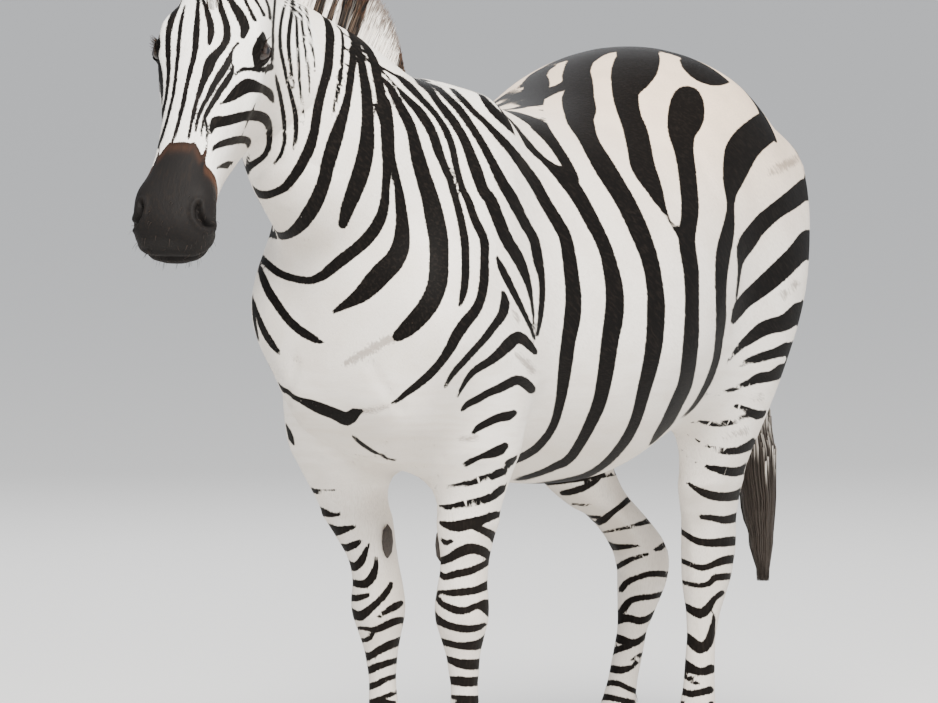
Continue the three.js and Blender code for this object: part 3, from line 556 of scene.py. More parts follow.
# (across, down, width) in the camera's frame, from the girth back
BARREL_STRIPES = {
    "flank 1": [(420, 75, 2), (430, 82, 5), (440, 90, 6), (449, 99, 7), (458, 108, 8), (467, 120, 8),
                (480, 140, 8), (491, 160, 9), (501, 180, 11), (513, 200, 12), (523, 220, 10.5),
                (534, 240, 10.5), (538, 260, 10.5), (542, 280, 7), (542, 300, 6.5), (540, 320, 5.5),
                (537, 336, 3)],
    "flank 2": [(446, 83, 2), (455, 92, 5), (464, 101, 6), (475, 113, 6), (484, 121, 6), (492, 129.5, 7),
                (502, 140, 8.5), (510, 149, 9), (517, 158, 10), (526.5, 171, 11), (536, 185, 12),
                (544, 200, 12), (556, 220, 12.5), (566, 240, 13.5), (572, 280, 15.5), (573.5, 300, 16.6),
                (572, 320, 17), (568.5, 340, 15), (566, 360, 14.6), (563.5, 380, 13), (560.5, 400, 10.5),
                (555.5, 420, 9), (551, 430, 8.5), (544, 440, 8.5), (534, 450, 8.5), (520, 458, 8),
                (508, 463, 7)],
    "flank 3": [(478, 91, 3), (484, 99, 6), (492, 109, 8.5), (502.5, 119, 9), (514, 129.5, 8.3),
                (524.5, 140, 7), (534, 151, 6.7), (544, 160.5, 6.5), (554, 169, 10), (565.5, 178, 17),
                (573.5, 189, 16), (580, 199, 15.5), (592, 221, 15), (603, 243, 14), (608.5, 260, 15),
                (613, 280, 17.5), (615, 300, 19), (613.5, 320, 19.5), (610, 340, 18), (606, 370, 16.5),
                (600, 400, 14.5), (593, 418, 13), (582, 440, 11), (569, 459, 9.5), (556, 466, 8),
                (540, 473, 6), (520, 479, 5), (508, 480.5, 4)],
    "saddle": [(545, 72, 8), (536, 76, 14), (537, 84, 26), (534, 92, 22), (535, 100, 19), (533, 108, 19),
               (535, 117, 20), (540, 126, 16), (546, 134, 12.5), (553, 143, 11), (559, 152, 10.5),
               (565, 161, 10.5), (569, 170, 12), (573, 178, 12)],
    "saddle tooth 1": [(484, 90, 2), (492, 95, 4), (500, 100, 5), (507, 105, 2)],
    "saddle tooth 2": [(490, 89, 2), (500, 93, 6), (510, 98, 6), (524, 104, 6)],
    "saddle tooth 3": [(499, 88, 2), (510, 88, 3), (520, 93, 5), (527, 97, 8)],
    "saddle tooth 4": [(513, 111, 2), (520, 114, 5), (528, 118, 8)],
    "flank 4": [(592, 56, 9), (583, 62, 20), (577, 71, 27), (577.5, 82, 31), (580, 91, 28), (578, 100, 33),
                (580, 109, 33), (580, 118, 28), (584, 128, 23), (588.5, 139, 19), (594, 150, 19),
                (606, 170, 20.5), (618.5, 190, 19.5), (628, 207, 19.5), (638, 228, 19.5), (649, 257, 17.5),
                (654.5, 284, 17), (656, 305, 18.5), (655, 335, 18), (651, 362, 16.5), (644, 390, 14),
                (636, 419, 11.5), (625.5, 440, 10.5), (610, 459, 8.5), (596, 470, 7), (582, 477, 6.5),
                (560, 481.5, 5), (540, 484, 4), (510, 485, 3)],
    "croup": [(628, 44, 22), (633, 51, 34), (639, 60, 42), (634, 69, 44), (629.5, 77, 38), (626, 84, 30),
              (626, 99, 25.5), (631, 119, 22), (635.5, 131, 24), (639.5, 149, 24.5), (643, 166, 24),
              (653.5, 187, 17), (659.5, 200, 11), (664, 210, 6), (670, 222, 2.5)],
    "croup tip": [(669, 221, 2), (676, 229, 5), (683, 238, 9)],
    "paddle": [(686, 92, 8), (687, 101, 31), (686, 116, 37), (682, 132, 28), (684, 150, 20), (688, 180, 18),
               (690, 210, 18), (687, 240, 17), (691, 270, 16), (692, 300, 14.5), (691, 340, 16),
               (686, 380, 15), (678, 400, 14), (667, 422, 12), (655, 440, 8), (643, 460, 6),
               (625, 470, 4.5), (600, 477, 3.5), (560, 483, 3), (520, 486, 2.5)],
    "spot": [(684, 61, 9), (692, 65, 19), (703, 69.5, 26), (714, 73.5, 25), (724, 76, 17), (731, 76, 7)],
    "thigh": [(779, 119, 30), (765, 128, 32), (750, 140, 33), (741, 152, 33), (737, 165, 28),
              (733, 180, 21), (731, 195, 11), (730.5, 208, 8), (729, 225, 12), (726, 240, 15),
              (723, 256, 15), (721, 280, 12.5), (721, 300, 11), (721, 320, 10.5), (719, 340, 8.5),
              (716, 360, 7.5), (709, 380, 7), (701, 395, 5.5), (693, 407, 4), (680, 420, 3)],
}
DORSAL_LINE = [(487, 88, 1.5), (500, 81, 3), (520, 73, 4), (560, 59.5, 4.5), (600, 48.5, 5), (640, 43.5, 6),
               (678, 47, 5), (705, 54, 3)]
HAUNCH_STRIPES = {
    "haunch 1": [(806, 188, 20), (790, 201, 19), (777, 210, 17), (765, 220, 17.5), (755, 231, 17),
                 (747, 243, 18), (742, 254, 12), (740, 266, 5), (738, 285, 3), (736, 300, 2.5)],
    "haunch 2": [(809, 243, 27), (797, 254, 21), (783, 268, 21), (770, 280, 20), (757, 291, 18),
                 (745, 301, 15), (738, 311, 12), (733, 322, 5)],
    "haunch 3": [(799, 311, 18), (786, 322, 17), (775, 325, 16), (763, 329, 15), (752, 337, 12),
                 (742, 345, 8), (733, 355, 4), (726, 364, 2)],
    "haunch 4": [(787, 349, 14), (775, 353, 10), (765, 356, 10), (752, 360, 8), (740, 365, 4)],
    "haunch 5": [(782, 371, 15), (772, 376, 11), (760, 378, 11), (748, 383, 7), (736, 388, 5),
                 (722, 393, 3.5), (706, 396, 2)],
    "haunch 6": [(748, 410, 6), (757, 415, 10), (765, 413, 6)],
    "haunch 7": [(702, 422, 3), (715, 424, 6), (730, 422.5, 6), (747, 418, 5)],
    "haunch 8": [(700, 442, 2), (710, 447, 4), (722, 451, 6.5), (735, 451, 8), (747, 447, 9),
                 (754, 442, 9)],
    "haunch 9": [(697, 463, 2), (708, 467, 5), (720, 470, 8.5), (734, 472, 9.5), (745, 469, 9),
                 (752, 463, 9)],
}
SHOULDER_STRIPES = {
    "blade 1": [(381, 76, 1.5), (388, 84, 5), (392, 91, 8), (397, 100, 8.5), (402, 110, 10),
                (407.5, 120, 11), (411.5, 130, 11), (414, 140, 12), (418.5, 160, 15), (424.5, 180, 16.5),
                (430.5, 200, 18), (435, 220, 20), (438.5, 240, 20), (439, 260, 20), (438, 280, 20),
                (434, 294, 20), (427, 307, 20), (418, 318, 19), (408, 328, 17), (398, 336, 12)],
    "blade 2": [(396, 86, 2), (401, 92, 4.5), (407, 99, 6.5), (413, 105, 8), (418, 110, 9), (425, 120, 10),
                (431, 130, 10), (435, 140, 10), (438, 150, 10), (442, 160, 8.4), (446, 170, 8),
                (450, 180, 7.6), (456, 200, 7.8), (461, 220, 8.3), (464.5, 240, 9), (465.5, 260, 8.5),
                (465, 280, 8.5), (463, 295, 7.5), (459.5, 306, 3)],
    "blade 3": [(393, 74, 2), (400, 78, 5), (407, 84, 7.5), (414, 91, 7.5), (422.5, 100, 6.5),
                (432, 110, 6.2), (439.5, 120, 6.3), (445.5, 130, 7.4), (450, 140, 7.6), (453, 150, 7.6),
                (457, 170, 7), (463, 190, 7), (468, 200, 8), (475, 220, 9), (484, 240, 9.4),
                (484.5, 260, 9.2), (484, 280, 10), (481, 298, 10), (475, 311, 11), (466, 322, 12),
                (457, 335, 12), (449, 350, 10.5), (440, 363, 9), (429, 375, 9), (416, 386, 8),
                (404, 395, 6)],
    "blade 4": [(407, 72, 2), (413, 76, 5), (420, 82, 7), (430, 90, 7.4), (436.5, 100, 7.3),
                (444.5, 110, 8.5), (452.5, 120, 9), (459, 130, 9.3), (464.5, 140, 9.8), (468.5, 150, 10.5),
                (476, 170, 12.5), (483, 190, 12), (490.5, 200, 13), (498.5, 220, 13), (507, 240, 13),
                (519, 260, 12), (527, 280, 8), (530.5, 295, 5), (533, 312, 3), (534, 330, 1.5)],
    "arm 1": [(497, 257, 3), (501, 267, 7), (508, 281, 8), (514, 293, 7), (521, 307, 6), (527, 319, 5),
              (532, 331, 4), (535, 341, 2)],
    "arm 2": [(503, 292, 4), (505, 303, 10), (502, 315, 10), (494, 326, 8.5), (486, 337, 8),
              (476, 348, 7.5), (466, 359, 7), (456, 370, 6.5), (450, 378, 5), (445, 387, 3.5)],
    "arm 3": [(535, 352, 6), (527, 343, 10), (518, 337, 12), (509, 344, 13), (500, 353, 11), (490, 361, 9),
              (480, 367, 8), (472, 373, 7), (464, 384, 5), (457, 397, 2.5)],
    "arm 4": [(531, 389, 10), (525, 383, 11), (517, 380, 10), (508, 384, 10), (498, 389, 9), (488, 393, 8),
              (478, 399, 8), (468, 404, 7), (462, 410, 4)],
    "arm 5": [(514, 413, 7), (508, 416, 10), (498, 418, 9), (487, 423, 8), (478, 428, 7), (473, 433, 4)],
    "arm 6": [(505, 446, 8), (500, 450, 11), (490, 454, 9), (480, 457, 5.5), (470, 462, 6), (462, 467, 4)],
}
NECK_STRIPES = {
    "neck 1": [(330, 38, 9), (329.5, 50, 9.5), (327.5, 70, 10), (322, 90, 9.5), (317.5, 110, 10),
               (314.5, 130, 10), (311.5, 142, 11), (307, 154, 11.5), (300, 167, 11), (292, 179, 10),
               (284, 188, 9), (276, 192, 8), (267, 195, 8.5), (259, 194, 8), (252, 189, 6.5),
               (247, 182, 5)],
    "neck 2": [(343, 44, 3), (342, 60, 4), (340, 78, 5), (337, 95, 4.5), (334, 108, 3), (332, 117, 1.5)],
    "neck 3": [(353, 40, 5), (353, 55, 7), (351.5, 70, 8), (349, 90, 8), (346, 105, 9), (341, 122, 12),
               (335, 140, 15), (329, 160, 15), (325, 178, 14), (319, 195, 15), (312, 209, 15.5),
               (303, 222, 14), (294, 231, 11), (283, 236, 8), (270, 234, 9), (260, 227, 9), (251, 217, 8),
               (244, 206, 5), (239, 196, 2.5)],
    "neck 4": [(357, 40, 4), (360, 55, 7), (363, 72, 9), (366, 90, 11), (367.5, 110, 12), (367.5, 130, 14),
               (366, 150, 16.5), (361, 172, 18), (354, 192, 17), (347, 210, 14), (343, 224, 10)],
    "neck 5": [(368, 50, 6), (374, 62, 9), (377, 75, 10), (380, 90, 10), (383, 105, 12), (386, 120, 13),
               (387, 135, 13), (388, 150, 13.5), (389.5, 165, 14)],
    "neck 6": [(388, 165, 12), (386.5, 178, 9), (385.5, 190, 9), (384.5, 203, 10), (381, 217, 12),
               (374, 230, 13), (365, 241, 13), (355, 250, 12.5), (343, 259, 12.5), (332, 268, 12),
               (322, 276, 10), (310, 280.5, 8), (297, 279, 8), (283, 275, 8), (272, 268, 8),
               (263, 259, 6.5), (256, 250, 5), (250, 240, 3)],
    "neck 7": [(394, 165, 6), (398, 185, 8), (400, 200, 10.5), (402, 220, 13), (402, 235, 16),
               (400, 249, 19), (393, 262, 21), (383, 272, 22), (373, 283, 21), (362, 294, 17),
               (350, 302, 11), (340, 308, 7), (332, 313, 3)],
}
BREAST_STRIPES = {
    "breast 1": [(257, 259, 2), (262, 275, 7), (268, 290, 9), (277, 304, 9), (287, 318, 9), (297, 328, 9),
                 (307, 335, 9), (316, 340, 7), (323, 343, 3)],
    "breast 2": [(253, 300, 3), (258, 316, 5), (264, 331, 7), (272, 344, 7), (279, 353, 4)],
    "breast 3": [(251, 285, 2), (253, 305, 3), (255, 325, 4), (258, 341, 3)],
    "breast 4": [(257, 352, 3), (262, 365, 4), (270, 376, 4.5), (280, 387, 4.5), (292, 396, 5),
                 (300, 400, 6), (310, 404, 10), (322, 409, 12), (335, 414, 12), (347, 419, 14),
                 (354, 414, 12), (361, 411, 5)],
    "breast 5": [(404, 395, 6), (399, 400, 5), (392, 404, 3)],
    "breast 6": [(353, 436, 3), (358, 441, 4), (366, 447, 4), (376, 453, 3.5), (388, 459, 2.5),
                 (396, 460, 2)],
    "breast 7": [(270, 393, 3), (275, 402, 8), (280, 406, 5)],
    "breast 8": [(284, 422, 2), (289, 432, 5), (291, 438, 6), (294, 445, 2)],
}
SMUDGES = {
    "breast": [(392, 339, 9), (384, 342, 9), (370, 350, 9), (357, 357, 8), (346, 363, 6)],
    "breast V": [(361, 411, 5), (375, 410, 4), (388, 406, 3)],
    "throat": [(280, 190, 6), (290, 187, 6)],
    "arm": [(517, 353, 3), (525, 362, 6), (532, 370, 7)],
    "arm 2": [(461, 439, 4), (468, 439, 5), (476, 437, 5)],
    "blade": [(513, 312, 3), (516, 316, 5), (519, 322, 3)],
    "rump 1": [(771, 172, 7), (782, 167, 9), (795, 160, 9)],
    "rump 2": [(783, 297, 7), (785, 293, 6)],
    "rump 3": [(792, 288, 5), (796, 284, 6)],
    "gaskin": [(722, 437, 2), (735, 434, 4), (745, 431, 7)],
    "haunch": [(752, 398, 3), (761, 397, 6)],
}

# bands of the legs, and the narrow stripes of the face and cheek
LEFT_FORE_STRIPES = [
    [(435, 487, 4), (445, 488, 5), (460, 486, 6), (475, 481, 7), (490, 477, 8), (503, 471, 9)],
    [(438, 507, 4), (450, 507, 6), (465, 504, 7), (480, 501, 8), (493, 496, 8.5), (503, 488, 8)],
    [(441, 523, 5), (450, 526, 9), (460, 526, 12), (472, 523, 11), (485, 519, 9), (498, 514, 7.5)],
    [(474, 526, 8), (484, 531, 8), (492, 535, 9), (494, 540, 7)],
    [(440, 538, 2), (446, 543, 6), (452, 541, 4)],
    [(441, 561, 8), (450, 558, 9), (460, 552, 11), (472, 548.5, 11), (484, 552, 10), (490, 558, 7)],
    [(438, 572, 4), (444, 577, 7), (456, 574, 8), (470, 571, 8), (483, 565, 7), (491, 560, 6)],
    [(439, 592, 4), (450, 593, 7), (463, 592, 8), (476, 590, 8), (488, 585, 9)],
    [(434, 592, 4), (440, 602, 6), (450, 608, 8), (463, 611, 8), (477, 606, 7), (486, 606, 14),
     (492, 610, 16)],
    [(430, 606, 6), (434, 617, 9), (445, 624, 8), (458, 628, 8), (470, 629, 8), (480, 627, 6),
     (485, 624, 4)],
    [(432, 637, 5), (440, 641, 7), (455, 645, 7), (470, 646, 9), (482, 643, 10), (490, 634, 8),
     (495, 624, 5)],
    [(440, 655, 4), (450, 660, 7), (462, 664, 10), (475, 664.5, 11), (487, 661, 9), (490, 653, 5)],
    [(449, 680, 8), (458, 681, 10), (470, 682, 10), (484, 680, 9)],
    [(452, 697, 5), (462, 699, 8), (475, 700, 9), (484, 698, 8)],
]
RIGHT_FORE_STRIPES = [
    [(302, 485, 5), (310, 490, 6), (320, 492, 5), (330, 491, 3), (338, 490, 1.5)],
    [(309, 502, 6), (316, 509, 8), (326, 513, 8), (336, 514, 6), (345, 511, 3)],
    [(320, 524, 5), (328, 530, 13), (337, 531, 10), (346, 529, 7), (356, 526, 3)],
    [(341, 546, 5), (347, 548, 8), (354, 545, 8), (361, 541, 4)],
    [(330, 545, 4), (337, 554, 7), (346, 563, 8), (355, 567, 9), (362, 560, 8), (366, 550, 5),
     (370, 543, 2)],
    [(337, 567, 4), (344, 577, 6), (354, 583, 7), (365, 584, 9), (372, 577, 9), (376, 566, 6),
     (376, 557, 3)],
    [(342, 590, 5), (349, 597, 7), (358, 598, 7), (368, 595, 5)],
    [(346, 606, 5), (352, 613, 9), (360, 616, 10), (370, 609, 8), (380, 600, 7), (387, 592, 7),
     (391, 584, 5)],
    [(378, 617, 3), (387, 611, 6), (396, 606, 8), (401, 603, 6)],
    [(346, 632, 5), (353, 630, 4), (362, 628, 4), (373, 630, 6), (383, 627, 8), (393, 622, 8),
     (402, 620, 7)],
    [(347, 624, 5), (351, 636, 6), (360, 641, 5), (370, 638, 5), (374, 632, 4)],
    [(352, 646, 5), (360, 653, 9), (368, 657, 8), (378, 651, 8), (390, 645, 9), (402, 640, 8),
     (406, 637, 6)],
    [(361, 665, 5), (366, 671, 8), (376, 667, 8), (388, 663, 7), (398, 660, 6), (402, 655, 4)],
    [(365, 688, 7), (375, 685, 7), (387, 679, 6), (398, 675, 5)],
    [(368, 703, 6), (380, 699, 6), (392, 694, 5), (400, 690, 4)],
]
LEFT_HIND_STRIPES = [
    [(688, 483, 3), (698, 490, 6.5), (710, 495, 9), (725, 497, 9.5), (740, 494, 10), (748, 487, 10)],
    [(701, 517, 5), (712, 518, 6.5), (725, 520, 8.5), (737, 517, 9), (742, 513, 6)],
    [(675, 526, 4), (685, 534, 5.5), (697, 541, 7.5), (712, 543, 8.5), (725, 542, 10), (733, 541, 10)],
    [(670, 555, 3), (680, 560, 5), (692, 565, 5.5), (702, 568, 6.5), (712, 565, 7), (722, 561, 8.5),
     (732, 559, 9)],
    [(674, 579, 3.5), (685, 583, 4.5), (700, 585.5, 5.5), (710, 583, 6), (714, 578, 7), (722, 577, 7.5),
     (730, 576, 7)],
    [(680, 604, 6), (690, 609, 8), (700, 614, 10), (708, 608, 9), (714, 599, 6), (722, 593, 6)],
    [(683, 633, 6), (690, 640, 10), (700, 648, 12), (708, 643, 10), (712, 630, 7), (714, 615, 3)],
    [(682, 661, 8), (690, 668, 10), (702, 672, 8), (711, 669, 10)],
    [(682, 673, 5), (690, 680, 5), (698, 684, 4)],
    [(680, 690, 7), (690, 694, 7), (702, 692, 7.5), (710, 690, 8)],
]
RIGHT_HIND_STRIPES = [
    [(562, 493, 5), (570, 492, 7), (583, 488, 7), (595, 482, 5), (600, 478, 3)],
    [(572, 504, 2), (585, 505, 2.5), (592, 504, 1)],
    [(584, 516, 3), (592, 517, 3.5), (600, 517, 3)],
    [(595, 524, 5), (603, 520, 8), (612, 513, 6), (622, 505, 6), (630, 498, 6), (635, 490, 5),
     (637, 480, 6), (642, 474, 9), (650, 471, 10), (654, 470, 9)],
    [(645, 495, 6), (652, 490, 8), (658, 486, 6)],
    [(601, 533, 2), (615, 530, 3), (630, 527, 4), (645, 522, 5.5), (653, 518, 8), (658, 508, 9),
     (664, 500, 12), (670, 496, 12)],
    [(676, 520, 9), (670, 525, 9), (668, 535, 6), (666, 543, 5), (660, 548, 6), (655, 550, 4)],
    [(607, 543, 5), (613, 547, 7), (622, 547, 6), (632, 546, 4), (643, 545, 2)],
    [(616, 568, 5), (622, 564, 6), (632, 559, 5), (642, 556, 4), (648, 554, 3)],
    [(621, 590, 6), (626, 583, 7), (636, 578, 6), (650, 574, 6.5), (662, 574, 7), (671, 575, 6)],
    [(619, 614, 6), (624, 608, 8), (630, 601, 7), (640, 598, 6.5), (655, 596, 6), (667, 592, 5)],
    [(617, 620, 10), (628, 618, 8), (640, 621, 8), (650, 617, 6), (658, 610, 5)],
    [(612, 636, 8), (622, 640, 9), (634, 643, 8), (645, 636, 5), (655, 626, 4), (659, 620, 2)],
    [(606, 655, 7), (616, 650, 7), (630, 646, 6)],
    [(632, 660, 3), (640, 655, 4), (650, 652, 5)],
    [(602, 667, 5), (612, 669, 8), (622, 670, 8), (632, 667, 5), (640, 660, 3)],
    [(599, 677, 3), (605, 673, 3)],
    [(640, 672, 3), (648, 667, 4)],
    [(594, 690, 4), (604, 684, 6), (616, 683, 6), (630, 689, 5.5), (642, 694, 5)],
    [(590, 700, 6), (605, 697, 7), (622, 700, 6), (642, 705, 6)],
]
FACE_STRIPES = [
    [(157, 0, 5), (148, 8, 6), (144, 18, 7), (144, 30, 6), (144, 42, 4), (144, 49, 3)],
    [(173, 0, 6), (165, 9, 7), (158, 18, 7), (153, 30, 6), (153, 42, 6.5), (154, 52, 6.5), (157, 62, 6.5),
     (160, 72, 5.5), (161.5, 84, 4), (161.5, 96, 3.5), (160, 106, 3.5), (157, 118, 3), (154, 130, 2.5),
     (151, 142, 2)],
    [(149, 65, 2), (150, 75, 4), (153, 85, 5), (156, 94, 5), (158, 103, 3), (159, 110, 1.5)],
    [(150, 52, 2), (154, 62, 3), (157, 72, 3), (160, 82, 2)],
    [(149, 90, 2), (151, 100, 3.5), (153, 110, 3.5), (154, 118, 2)],
    [(181, 0, 3), (176, 9, 6), (171.5, 20, 7), (168.5, 33, 6.5), (168, 50, 6), (168.5, 66, 5),
     (168, 80, 4.2), (166.5, 94, 3.5), (164, 107, 3.5), (160.5, 120, 3.5), (157.5, 133, 3.3),
     (154, 144, 2)],
    [(185, 5, 2), (183, 14, 3.5), (180.5, 26, 4.5), (179, 40, 4.5), (178, 54, 4.3), (176.5, 68, 4),
     (175, 82, 4), (173, 96, 3.7), (169.5, 110, 3.5), (166.5, 122, 3.3), (162.5, 135, 3.3),
     (158, 148, 2.5)],
    [(198, 0, 4), (197.5, 12, 5), (197, 24, 6.5), (196, 38, 7.5), (195, 50, 6.5), (192.5, 62, 6),
     (189.5, 74, 5.7), (186.5, 86, 5), (184, 100, 5), (181, 112, 4.7), (178, 124, 4), (174.5, 136, 3.3),
     (170, 147, 2)],
    [(203, 0, 3.5), (206, 8, 5), (209, 18, 7), (211, 28, 7.5), (210.5, 37, 7), (209.5, 44, 4)],
    [(219, 0, 6), (221.5, 10, 6.5), (225, 20, 7), (227, 30, 8), (227, 38, 8), (223.5, 46, 7.5),
     (217, 53, 9), (211, 61, 11.5), (208, 69, 11), (204.5, 78, 8), (200.5, 89, 6.5), (197, 100, 4.8),
     (194.5, 110, 4.8), (192, 120, 3.8), (190, 130, 3.5), (188.5, 138, 3)],
    [(230, 0, 6), (236, 9, 9), (242, 19, 10.5), (245, 28, 10), (243, 36, 6)],
    [(238, 43, 3), (232, 50, 3), (230, 57, 5.5), (226, 66, 8), (220, 75, 8), (214.5, 84, 7), (210, 93, 6),
     (205, 102, 5), (200.5, 111, 4.5), (197.5, 121, 3.5), (195.5, 131, 2.5)],
    [(233, 62, 2), (232, 72, 5), (227, 81, 7), (220.5, 90, 7), (215, 99, 6.5), (209.5, 108, 5.5),
     (205, 117, 4.3), (202.5, 126, 3), (201, 136, 2)],
    [(205.5, 118, 2), (207, 128, 3), (207, 138, 2.5), (206, 150, 2)],
]
CHEEK_STRIPES = [
    [(235, 76, 1.5), (238, 72, 3), (243, 69, 4.5), (250, 69, 4), (258, 70, 5), (265, 70, 6), (271, 67, 7)],
    [(272, 60, 4), (273, 45, 3), (273, 30, 3), (274, 15, 3), (275, 0, 3)],
    [(220, 104, 1.5), (226, 101, 5), (233, 96, 10), (240, 90, 13), (248, 85.5, 15), (256, 87, 12),
     (263, 89, 9), (269, 93, 9), (272, 99, 6), (273.5, 103, 2)],
    [(211, 134, 2), (213, 126, 8), (216, 122, 12), (225, 121, 11), (235, 118.5, 10.5), (245, 116, 10),
     (255, 115.5, 11), (264, 118, 11), (268.5, 125, 8), (269.5, 137, 6.5), (268, 149, 6), (262, 158, 6),
     (253, 164, 7), (247.5, 170, 6), (245.5, 177, 5), (246, 183, 2.5)],
    [(211, 152, 1.5), (215, 147, 5), (221, 144, 7), (230, 141.5, 8), (240, 139.5, 8.5), (248, 141, 7.5),
     (249, 147, 4.5), (248, 157, 3), (246.5, 167, 2.5)],
    [(217, 168, 2), (222, 166, 5), (229, 165, 8.5), (234, 166, 9), (238, 171, 5.5), (240, 178, 3)],
    [(239, 180, 2.5), (236, 188, 3), (233, 194, 3), (231, 202, 3)],
    [(241, 186, 3), (239, 193, 3.5), (237, 200, 3)],
    [(224, 187, 4), (227, 188, 4), (228, 192, 4)],
    [(275.5, 74, 1.5), (277, 82, 4), (279.5, 92, 4.5), (281.5, 103, 4.5), (283.5, 115, 5),
     (284.5, 127, 4.5), (284.5, 139, 4.5), (283, 149, 4.5), (279, 158, 4), (273, 165, 2.5)],
    [(286, 0, 2.5), (283, 12, 3.5), (280.5, 26, 3.5), (280, 40, 4), (281, 52, 4), (284, 66, 4),
     (287, 80, 4), (291, 95, 4.5), (294.5, 109, 5), (296, 121, 5.5), (296, 133, 5), (295, 142, 4.5),
     (293, 150, 2)],
    [(292, 0, 3), (291.5, 14, 4), (289.5, 28, 4.5), (288.5, 42, 4.5), (289.5, 56, 4), (291, 68, 3.5),
     (293, 80, 3), (294.5, 89, 1.5)],
    [(294, 4, 2), (296.5, 20, 3), (297, 36, 3.5), (298, 52, 3.5), (299, 68, 3.5), (300, 84, 3.2),
     (301.5, 98, 3.2), (303, 112, 2.8), (303.5, 124, 2)],
    [(299.5, 4, 2.5), (301.5, 20, 3), (303.5, 36, 3), (305.5, 52, 3), (307.5, 66, 3), (309.5, 80, 2.5),
     (309.5, 94, 1.5)],
    [(304, 0, 3), (307, 14, 3), (309.5, 30, 3), (312, 46, 3), (314, 60, 2.5), (315, 72, 1.5)],
    [(247, 4, 3), (251, 12, 4), (255, 20, 4)],
    [(257, 2, 3), (261, 9, 3), (264, 15, 4)],
    [(266, 0, 3), (269, 8, 3), (270, 18, 4)],
]

HEAD_MIDDLE = (POLL, HEAD_SIDE)


def stripe(points, before=0.0, after=0.0, mask=None):
    """A stripe as it is seen, carried on past its ends."""
    draw(points)
    drawn = lay(points)
    laid = run_on(run_on(drawn, after, 0.5)[::-1], before, 0.3)
    paint(laid, mask)
    beyond = laid[len(laid) - int(before / RUN_STEP) - 1:]
    if before > 0 and len(beyond) > 1:
        chosen, gap = gap_to(beyond, mask=mask)
        mark[chosen] = np.minimum(mark[chosen], gap)


for name, points in BARREL_STRIPES.items():
    over = 0.12 if points[0][1] < TOPLINE_ROWS and name not in ("spot", "thigh", "paddle") else 0.0
    stripe(points, before=0.16 if name == "thigh" else over,
           after=0.05 if points[-1][1] > 400 else 0.0)
draw(DORSAL_LINE)
paint([(Vector((0, p.y, p.z)), half) for p, half in lay(DORSAL_LINE)])
for name, points in HAUNCH_STRIPES.items():
    stripe(points, before=0.12 if points[0][1] < 395 else 0.05)
for points in SHOULDER_STRIPES.values():
    stripe(points, before=0.12 if points[0][1] < TOPLINE_ROWS else 0.0)
for points in NECK_STRIPES.values():
    stripe(points, before=0.11, mask=~is_ear)
for points in BREAST_STRIPES.values():
    draw(points)
    paint(lay(points))
for points in FACE_STRIPES + CHEEK_STRIPES:
    stripe(points, before=0.075 if points[0][1] < 5 else 0.0, mask=is_head & ~is_ear)
for bands in (LEFT_FORE_STRIPES, RIGHT_FORE_STRIPES, LEFT_HIND_STRIPES, RIGHT_HIND_STRIPES):
    for points in bands:
        draw(points)

# the lower cannons and pasterns are banded down to the coronets
LOW_BANDS = (0.262, 0.236, 0.210, 0.183, 0.155, 0.126, 0.098)
LOW_BAND_HALF = 0.0062
below_frame = (down > FRAME_HIGH - 1) & (co[:, 2] < 0.32)
for height in LOW_BANDS:
    wave = 0.004 * np.sin(co[:, 0] * 90) + 0.006 * np.sin(co[:, 1] * 60)
    band = np.abs(co[:, 2] - height - wave) - LOW_BAND_HALF
    mark[below_frame] = np.minimum(mark[below_frame], band[below_frame])


LEAST_GAP = 0.0008


def read_marks(places, among, ease=(1.0, 1.0, 1.0)):
    """What the skin carries at these places, averaged over its nearest points among some rows. An eased axis
    counts for less, so that marks are carried on along it."""
    rows = np.nonzero(among)[0]
    found = tree_over(co[rows] * ease)
    read = np.empty(len(places))
    for i, place in enumerate(places):
        hits = found.find_n(place * ease, 4)
        shares = np.array([1 / (hit[2] + LEAST_GAP) ** 2 for hit in hits])
        read[i] = (mark[rows[[hit[1] for hit in hits]]] * shares).sum() / shares.sum()
    return read


# the far half of each leg carries the near half's bands, reflected through the leg's own middle
across_camera = np.array((to_camera.x, to_camera.y, 0.0)) / math.hypot(to_camera.x, to_camera.y)
LEG_TOP = 0.66
LEG_SLICE = 0.02
heights = np.arange(0.06, LEG_TOP + LEG_SLICE, LEG_SLICE)
depth = co @ across_camera
for left in (True, False):
    for fore in (True, False):
        leg = (co[:, 2] < LEG_TOP) & ((co[:, 0] > 0) == left) & ((co[:, 1] < LEG_MIDDLE_Y) == fore)
        seen = leg & (drawn_on | below_frame)
        missing = np.nonzero(leg & ~(drawn_on | below_frame))[0]
        cores = []
        for height in heights:
            ring = depth[leg & (np.abs(co[:, 2] - height) < LEG_SLICE)]
            cores.append((ring.min() + ring.max()) / 2 if len(ring) else 0.0)
        core = np.interp(co[missing, 2], heights, cores)
        past = np.minimum(depth[missing] - core, 0.0)
        reflected = co[missing] - 2 * past[:, None] * across_camera
        low_down = ramp(co[missing, 2], 0.60, LEG_TOP) < 0.6
        mark[missing] = np.where(low_down, read_marks(reflected, seen), mark[missing])

